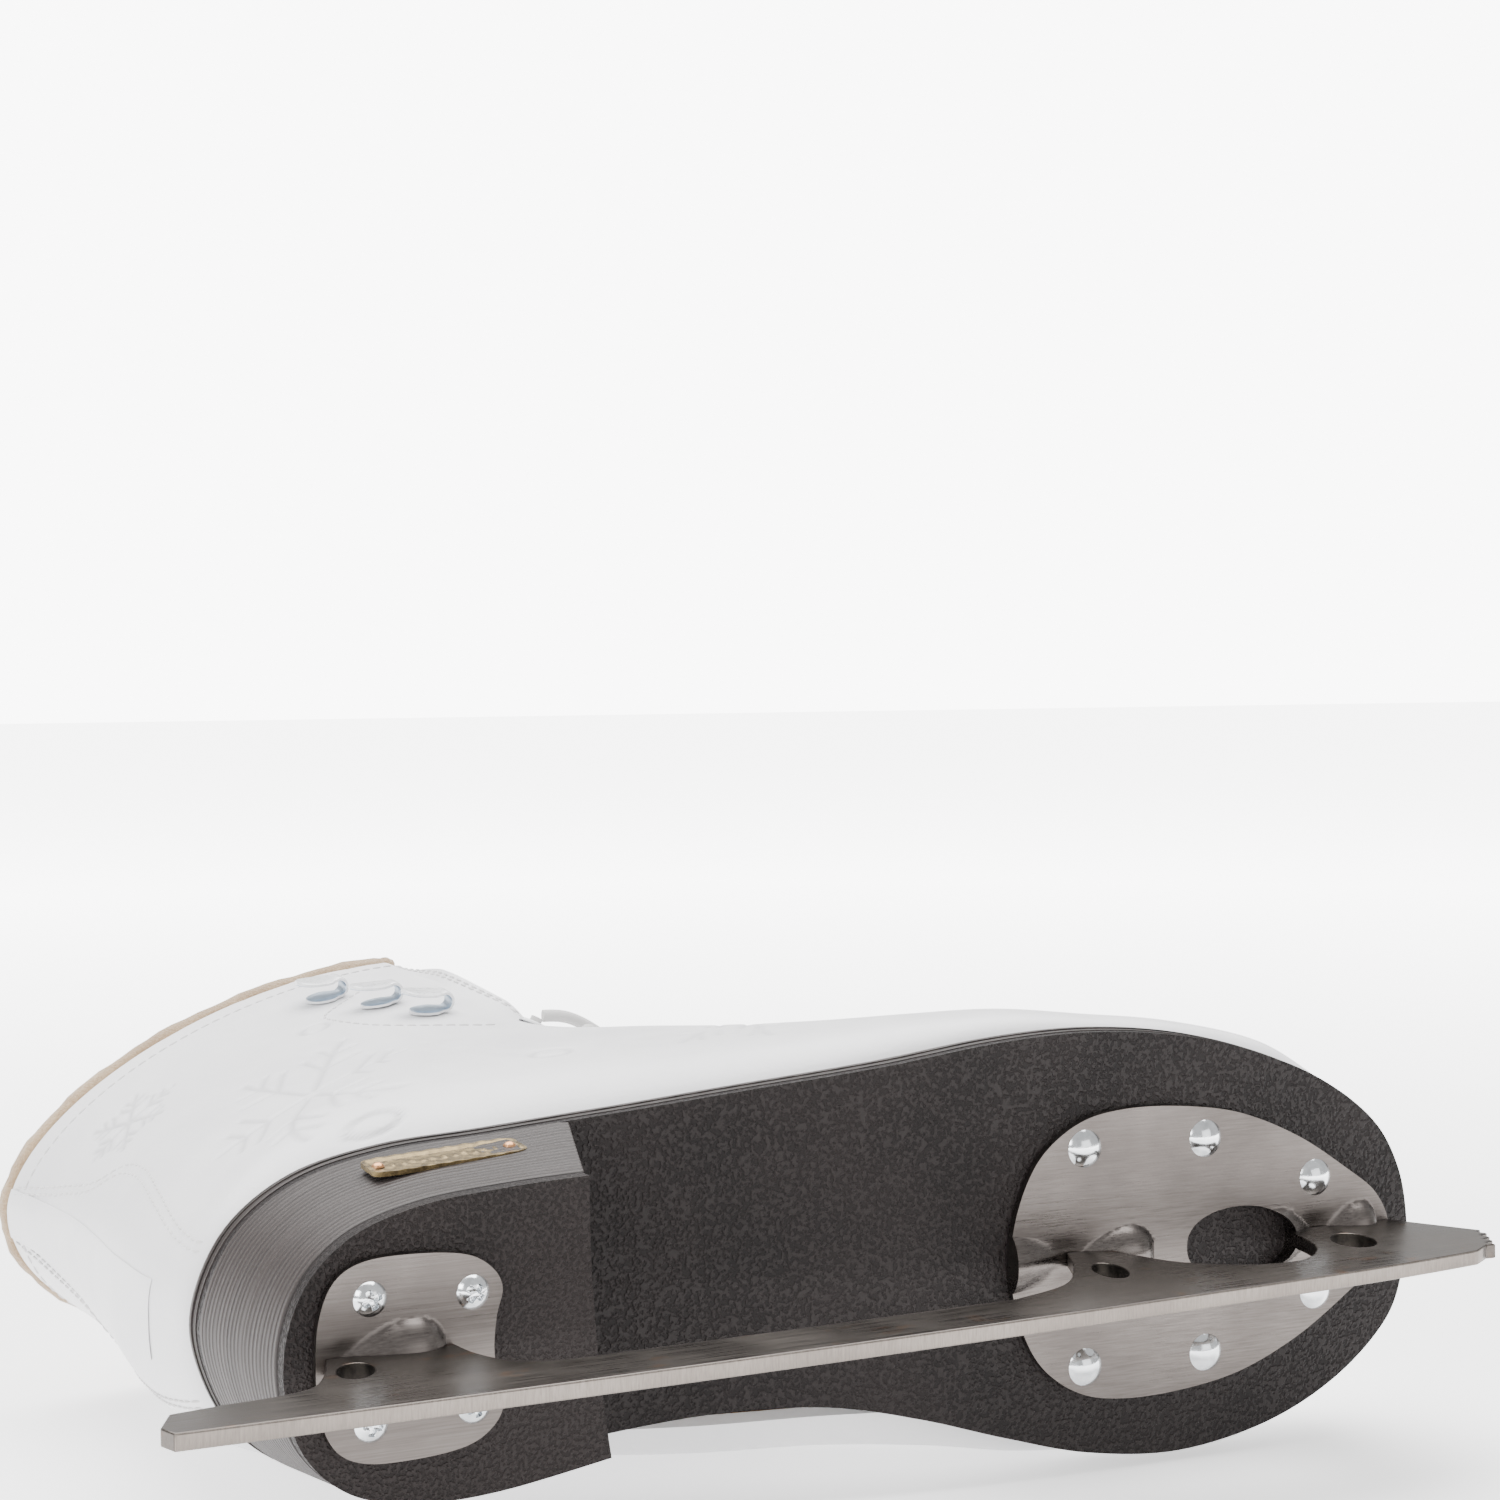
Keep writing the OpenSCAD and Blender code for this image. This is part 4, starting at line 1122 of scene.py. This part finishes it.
def tongue_grid(t0, t1, nt, nq, depth):
    out = []
    for t in np.linspace(t0, t1, nt):
        row = []
        for q in np.linspace(-1, 1, nq):
            row.append(tongue_point(t, q, depth(t, q)))
        out.append(row)
    return np.array(out)


def quilted(t, q):
    """The outside: padded channels run along the tongue, and the edge is bound."""
    channel = 0.35 * abs(math.sin(3 * math.pi * q)) ** 0.5
    border = 0.9 * max(0, abs(q) - 0.88) / 0.12
    return 0.45 - channel + border


def build_tongue():
    t0, t1 = THROAT - 0.9, TONGUE_END
    nt, nq = fine(150), fine(70)
    outer = tongue_grid(t0, t1, nt, nq, quilted)
    inner = tongue_grid(t0, t1, nt, nq, lambda t, q: TONGUE_T)
    lining_in = tongue_grid(t0 + 0.1, t1 - 0.1, nt, nq,
                            lambda t, q: TONGUE_T + TONGUE_LINING - 0.5 * abs(q) ** 4)
    lining_out = tongue_grid(t0 + 0.1, t1 - 0.1, nt, nq, lambda t, q: TONGUE_T + 0.05)
    pieces = [piece("tongue_leather", *closed_shell(outer, inner), WHITE, "white_leather",
                    ["tongue_base", "tongue_flap"], sharp=60, bevel=0.8, segments=3, body=None),
              piece("tongue_fleece", *closed_shell(lining_out, lining_in), FLEECE, "fleece",
                    ["tongue_base_lining", "tongue_flap_lining"], sharp=60, body=None)]
    ts = np.linspace(t0 + 0.4, t1 - 0.35, 90)
    lines = [np.array([tongue_point(t, q, quilted(t, q) - 0.05) for t in ts])
             for q in (-0.9, -0.34, 0.34, 0.9)]
    pieces.append(stitches("tongue_stitching", lines, None))
    return pieces


tongue_pieces = build_tongue()
for ob in tongue_pieces:
    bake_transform(ob)

# ---------------------------------------------------------------- eyelets and hooks
EYELET_TS = [9.4, 10.3, 11.2, 12.15, 13.1]
HOOK_AT = [[15, 99], [16.2, 104], [17.6, 109]]
EYELET_BORE = 4.2
EYELET_R = 4
SKIN_STACK = LINING_D + LINING


def eyelet_phi(t):
    return float(eyestay(t)) + 20


def local_to_skin(v, t, phi, turn=0.0):
    p, n, u, w = frame_at(t, phi)
    c, s = math.cos(turn), math.sin(turn)
    x = v[:, 0] * c - v[:, 1] * s
    y = v[:, 0] * s + v[:, 1] * c
    return p + np.outer(x, u) + np.outer(y, w) + np.outer(v[:, 2], n)


def eyelet_mesh():
    r = EYELET_BORE / 2
    a = np.linspace(0, math.pi, 9)
    rim_mid = (r + EYELET_R) / 2
    rim_half = (EYELET_R - r) / 2
    profile = [[r, -LEATHER - 1], [r, -0.6]]
    profile += [[rim_mid - rim_half * math.cos(k), 0.05 + 0.75 * math.sin(k) ** 0.8] for k in a]
    profile += [[EYELET_R, 0.0], [r + 0.5, 0.0], [r + 0.5, -LEATHER - 1]]
    segs = 36
    v = [(q[0] * math.cos(b), q[0] * math.sin(b), q[1])
         for q in profile for b in np.linspace(0, 2 * math.pi, segs, endpoint=False)]
    f = grid_faces(len(profile), segs, wrap=True)
    n = len(profile)
    f += [((n - 1) * segs + j, (n - 1) * segs + (j + 1) % segs, (j + 1) % segs, j) for j in range(segs)]
    return np.array(v), f


HOOK_W = 9
HOOK_H = 5.4
HOOK_T = 1.1
HOOK_FRONT = -4.4
HOOK_BACK = 5.4


def hook_mesh():
    """One strip: round base on the leather, bent up at the front and back over as a round cap."""
    r = (HOOK_H - HOOK_T) / 2
    mid = HOOK_H / 2
    path = [(y, HOOK_T / 2 + 0.05) for y in np.linspace(HOOK_BACK - 2, HOOK_FRONT, 16)]
    path += [(HOOK_FRONT - r * math.sin(a), mid - r * math.cos(a))
             for a in np.linspace(0.15, math.pi - 0.15, 14)]
    path += [(y, HOOK_H - HOOK_T / 2 + 0.012 * (y - HOOK_FRONT) ** 2 - 0.2)
             for y in np.linspace(HOOK_FRONT, HOOK_BACK, 20)]
    path = np.array(path)
    t = np.gradient(path, axis=0)
    t /= np.linalg.norm(t, axis=1)[:, None]
    normal = np.stack([-t[:, 1], t[:, 0]], 1)
    full = HOOK_W / 2
    width = []
    for i, (y, z) in enumerate(path):
        if i < 16:
            gap = (HOOK_BACK - 2) - y
        elif i >= 30:
            gap = HOOK_BACK - y
        else:
            gap = full
        w = math.sqrt(max(full ** 2 - max(full - gap, 0) ** 2, 0.15))
        waist = 0.62 if 16 <= i < 30 else 1 - 0.38 * float(ramp((HOOK_FRONT + 2.6 - y) / 2.6))
        width.append(w * waist)
    across = np.linspace(-1, 1, 11)
    soft = 0.5 * HOOK_T * np.sqrt(1 - 0.75 * across ** 6)
    outer, inner = [], []
    for (y, z), nn, w in zip(path, normal, width):
        outer.append([(w * k, y + nn[0] * h, z + nn[1] * h) for k, h in zip(across, soft)])
        inner.append([(w * k, y - nn[0] * h, z - nn[1] * h) for k, h in zip(across, soft)])
    return closed_shell(np.array(outer), np.array(inner)), (len(path) - 1) * (len(across) - 1)


def build_fittings():
    ev, ef = eyelet_mesh()
    (hv, hf), side = hook_mesh()
    for s, name in ((1, "lateral"), (-1, "medial")):
        parts = [(local_to_skin(ev, t, s * eyelet_phi(t)), ef) for t in EYELET_TS]
        piece("eyelet_rings_" + name, *merge(parts), ENAMEL, "white_metal", ["eyelets_" + name],
              sharp=60)
        for k, (t, phi) in enumerate(HOOK_AT):
            v = local_to_skin(hv, t, s * phi, 0 if s > 0 else math.pi)
            ob = piece("hook_body_%s_%d" % (name, k + 1), v, hf, ENAMEL, "white_metal",
                       ["hook_%s_%d" % (name, k + 1)], sharp=60, bevel=0.25)
            ob.data.materials.append(ENAMEL_INSIDE_SHADE)
            # the faces inside the hook's bend get the blue-grey enamel: painted shade
            for p in ob.data.polygons[side:2 * side]:
                p.material_index = 1


build_fittings()

# ---------------------------------------------------------------- laces
LACE_R = 1.5
LACE_OUT = LACE_R + 0.5
LACE_IN = SKIN_STACK + LACE_R + 0.3
OVER_DEPTH = [1.4, 5.7]
LIE_Z = FLOOR_Z + LACE_R + 0.2


def front_point(t, d):
    c = near(t) + d * inward(t)
    return np.array([c[0], c[1], 0])


def crossing(i, s, strand):
    a, b = EYELET_TS[i], EYELET_TS[i + 1]
    mid = front_point((a + b) / 2, OVER_DEPTH[strand])
    away = np.array([0, 0, s * 5])
    return [outside(a, s * eyelet_phi(a), LACE_OUT), outside(a + 0.12, s * (float(eyestay(a)) + 1), LACE_OUT),
            mid + away, mid - away,
            outside(b - 0.12, -s * (float(eyestay(b)) + 1), -LACE_IN),
            outside(b, -s * eyelet_phi(b), -LACE_IN)]


def strand(s, n):
    out = []
    for i in range(len(EYELET_TS) - 1):
        out += crossing(i, s if i % 2 == 0 else -s, n if i % 2 == 0 else 1 - n)
    return out


def last_out(s):
    t = EYELET_TS[-1]
    return outside(t, s * eyelet_phi(t), LACE_OUT)


END_LATERAL = [[48, 160, 44.4], [56, 160, 40], [65, 158, 32], [75, 156, 20], [83, 156, 4], [89, 158, -12],
               [94, 163, -28], [99, 170, -40], [106, 178, LIE_Z], [116, 185, LIE_Z], [128, 189, LIE_Z],
               [139, 190.5, LIE_Z]]
END_MEDIAL = [[50, 166, -39], [56, 176, -42], [59, 186, -44.5], [60, 196, LIE_Z], [62, 208, LIE_Z]]
COIL_R = 17
COIL_PITCH = 3.05
COIL_STEPS = 36
COIL_LATERAL = [139, 207.5]
COIL_MEDIAL = [79, 210]


def coil_turns(centre, start_angle, turns, way):
    """Turns that widen and narrow by a lace's width, and rise to a second layer near the third."""
    out = []
    for i in range(1, int(COIL_STEPS * turns) + 1):
        k = i / COIL_STEPS
        a = start_angle + way * 2 * math.pi * k
        lane = COIL_R + COIL_PITCH * (1 - abs((k % 4) - 2))
        layer = float(ramp((k - 2.6) / 0.8)) * 2 * LACE_R
        out.append([centre[0] + lane * math.cos(a), centre[1] + lane * math.sin(a), LIE_Z + layer])
    return out


def free_end(name, first, route, centre, start_angle, turns, way, node, coil_node):
    path = open_curve(np.array([first] + route), 6)
    path = np.vstack([path, coil_turns(centre, start_angle, turns, way)])
    fine_path, _ = along(path, 2.0)
    fine_path[1:-1] = (fine_path[:-2] + 2 * fine_path[1:-1] + fine_path[2:]) / 4
    fine_path, length = along(fine_path, 2.0)
    v, f = tube(fine_path, LACE_R, 10)
    ob = piece(name, v, f, LACE, "lace_cord", [node, coil_node], sharp=80)
    end = fine_path[-1]
    u = fine_path[-1] - fine_path[-2]
    u /= np.linalg.norm(u)
    tip_line = end + np.outer(np.linspace(-4, 16, 12), u)
    tip_r = np.array([1.56] * 9 + [1.5, 1.35, 1.0])
    tip = piece("lace_tip_" + name.split("_")[-1], *tube(tip_line, tip_r, 16), ENAMEL, "lace_cord",
                sharp=50)
    return length


def build_laces():
    lower = [front_point(EYELET_TS[0], -LACE_R - 0.8)]
    path = [last_out(-1)] + strand(-1, 1)[::-1] + lower + strand(1, 0) + [last_out(1)]
    smooth = open_curve(np.array(path), 8)
    smooth, laced = along(smooth, 1.2)
    piece("lace_laced", *tube(smooth, LACE_R, 12), LACE, "lace_cord", ["lace"], sharp=80)
    a = free_end("lace_free_lateral", last_out(1) + [1.6, 0.4, 0.3], END_LATERAL, COIL_LATERAL,
                 -math.pi / 2, 4.6, 1, "lace_end_lateral", "lace_coil_lateral")
    b = free_end("lace_free_medial", last_out(-1) + [1.6, 1, -0.3], END_MEDIAL, COIL_MEDIAL, math.pi, 5.2, -1,
                 "lace_end_medial", "lace_coil_medial")
    print("lace lengths", round(laced), round(a), round(b))


build_laces()


# ---------------------------------------------------------------- nameplate
# Leans out with the heel's flare. The frame's own plate leans the other way
NAME_TILT = 7


def build_nameplate():
    """A cast plate with a raised border, a plain beaded band instead of lettering, and a pin at each end."""
    def turned(v):
        m = (Matrix.Rotation(math.radians(3), 4, "Z") @ Matrix.Rotation(math.radians(-3), 4, "Y")
             @ Matrix.Rotation(math.radians(NAME_TILT), 4, "X"))
        return np.array([m @ Vector(q) for q in v]) + np.array([-22, 61, 31.7])

    def height(x, y):
        edge = np.minimum(16.5 - np.abs(x), 4.75 - np.abs(y))
        border = 0.35 * ramp((1.5 - edge) / 0.5)
        beads = 0.22 * np.clip(np.cos(x * 2 * math.pi / 2.2), 0, 1) * (np.abs(y) < 0.9) * (np.abs(x) < 11.5)
        hammered = 0.06 * np.sin(x * 1.7 + 0.4) * np.sin(y * 2.3)
        return 0.62 + border + beads + hammered
    a = np.linspace(0, 2 * math.pi, 64, endpoint=False)
    outline = np.stack([16.5 * bulge(np.cos(a), 0.28), 4.75 * bulge(np.sin(a), 0.28)], 1)
    v, f = plate_solid([outline], np.arange(-16, 16.1, 0.45), np.arange(-4.5, 4.6, 0.35),
                       lambda x, y: np.stack([x, y, np.zeros_like(x)], 1),
                       lambda x, y: np.stack([x, y, height(x, y)], 1))
    piece("nameplate_cast", turned(v), f, BRASS, "name_brass", ["nameplate"], sharp=60, bevel=0.25)
    pins = []
    for s in (-1, 1):
        v, f = dome(1.35, 0.8)
        v = np.stack([v[:, 0] + s * 14.1, v[:, 2], 0.8 - v[:, 1]], 1)
        pins.append((turned(v), f))
    piece("nameplate_pin_heads", *merge(pins), COPPER, "name_brass", ["nameplate_pins"], sharp=60)


build_nameplate()

# ---------------------------------------------------------------- nodes kept as they are
KEPT = {"shank": SHANK}
for node, mat in KEPT.items():
    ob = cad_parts[node]
    for group in ob if isinstance(ob, (list, tuple)) else [ob]:
        group.data.materials.clear()
        group.data.materials.append(mat)


# ---------------------------------------------------------------- floor and light
def backdrop():
    k = Mat("pale_floor", specular=0.1)
    k.colour(k.blend(k.span(k.noise((0.004, 0.004, 0.004), 2), 0, 1), (0.95, 0.95, 0.95), (0.97, 0.97, 0.97)))
    k.rough(0.9)
    far = k.node("VectorMath", operation="LENGTH")
    k.feed(far, "Vector", k.where)
    k.feed(k.b, "Emission Color", (1, 1, 1, 1))
    k.feed(k.b, "Emission Strength", k.span(far.outputs["Value"], 0.9, 6, 0.3, 1.6))
    me = bpy.data.meshes.new("floor")
    me.from_pydata([(-8, -8, 0), (8, -8, 0), (8, 8, 0), (-8, 8, 0)], [], [(0, 1, 2, 3)])
    me.materials.append(k.m)
    ob = bpy.data.objects.new("floor", me)
    bpy.context.collection.objects.link(ob)


def light(name, at, size, power, aim=(0, -0.03, 0.05)):
    data = bpy.data.lights.new(name, "AREA")
    data.energy = power
    data.shape = "RECTANGLE"
    data.size, data.size_y = size
    ob = bpy.data.objects.new(name, data)
    bpy.context.collection.objects.link(ob)
    ob.location = at
    ob.rotation_euler = (Vector(at) - Vector(aim)).to_track_quat("Z", "Y").to_euler()


backdrop()
light("top", (0.1, 0.5, 1.9), (2.6, 2.2), 150)
light("key", (-1.3, -0.7, 0.7), (0.6, 0.6), 10)
light("front", (0.5, -1.6, 0.5), (1.2, 0.8), 5)
world = bpy.data.worlds.new("world")
world.use_nodes = True
tree = world.node_tree
soft = tree.nodes["Background"]
soft.inputs["Color"].default_value = (1, 1, 1, 1)
soft.inputs["Strength"].default_value = 0.8
seen = tree.nodes.new("ShaderNodeBackground")
seen.inputs["Color"].default_value = (1, 1, 1, 1)
seen.inputs["Strength"].default_value = 9
pick = tree.nodes.new("ShaderNodeMixShader")
ray = tree.nodes.new("ShaderNodeLightPath")
tree.links.new(ray.outputs["Is Camera Ray"], pick.inputs["Fac"])
tree.links.new(soft.outputs[0], pick.inputs[1])
tree.links.new(seen.outputs[0], pick.inputs[2])
tree.links.new(pick.outputs[0], tree.nodes["World Output"].inputs["Surface"])
bpy.context.scene.world = world
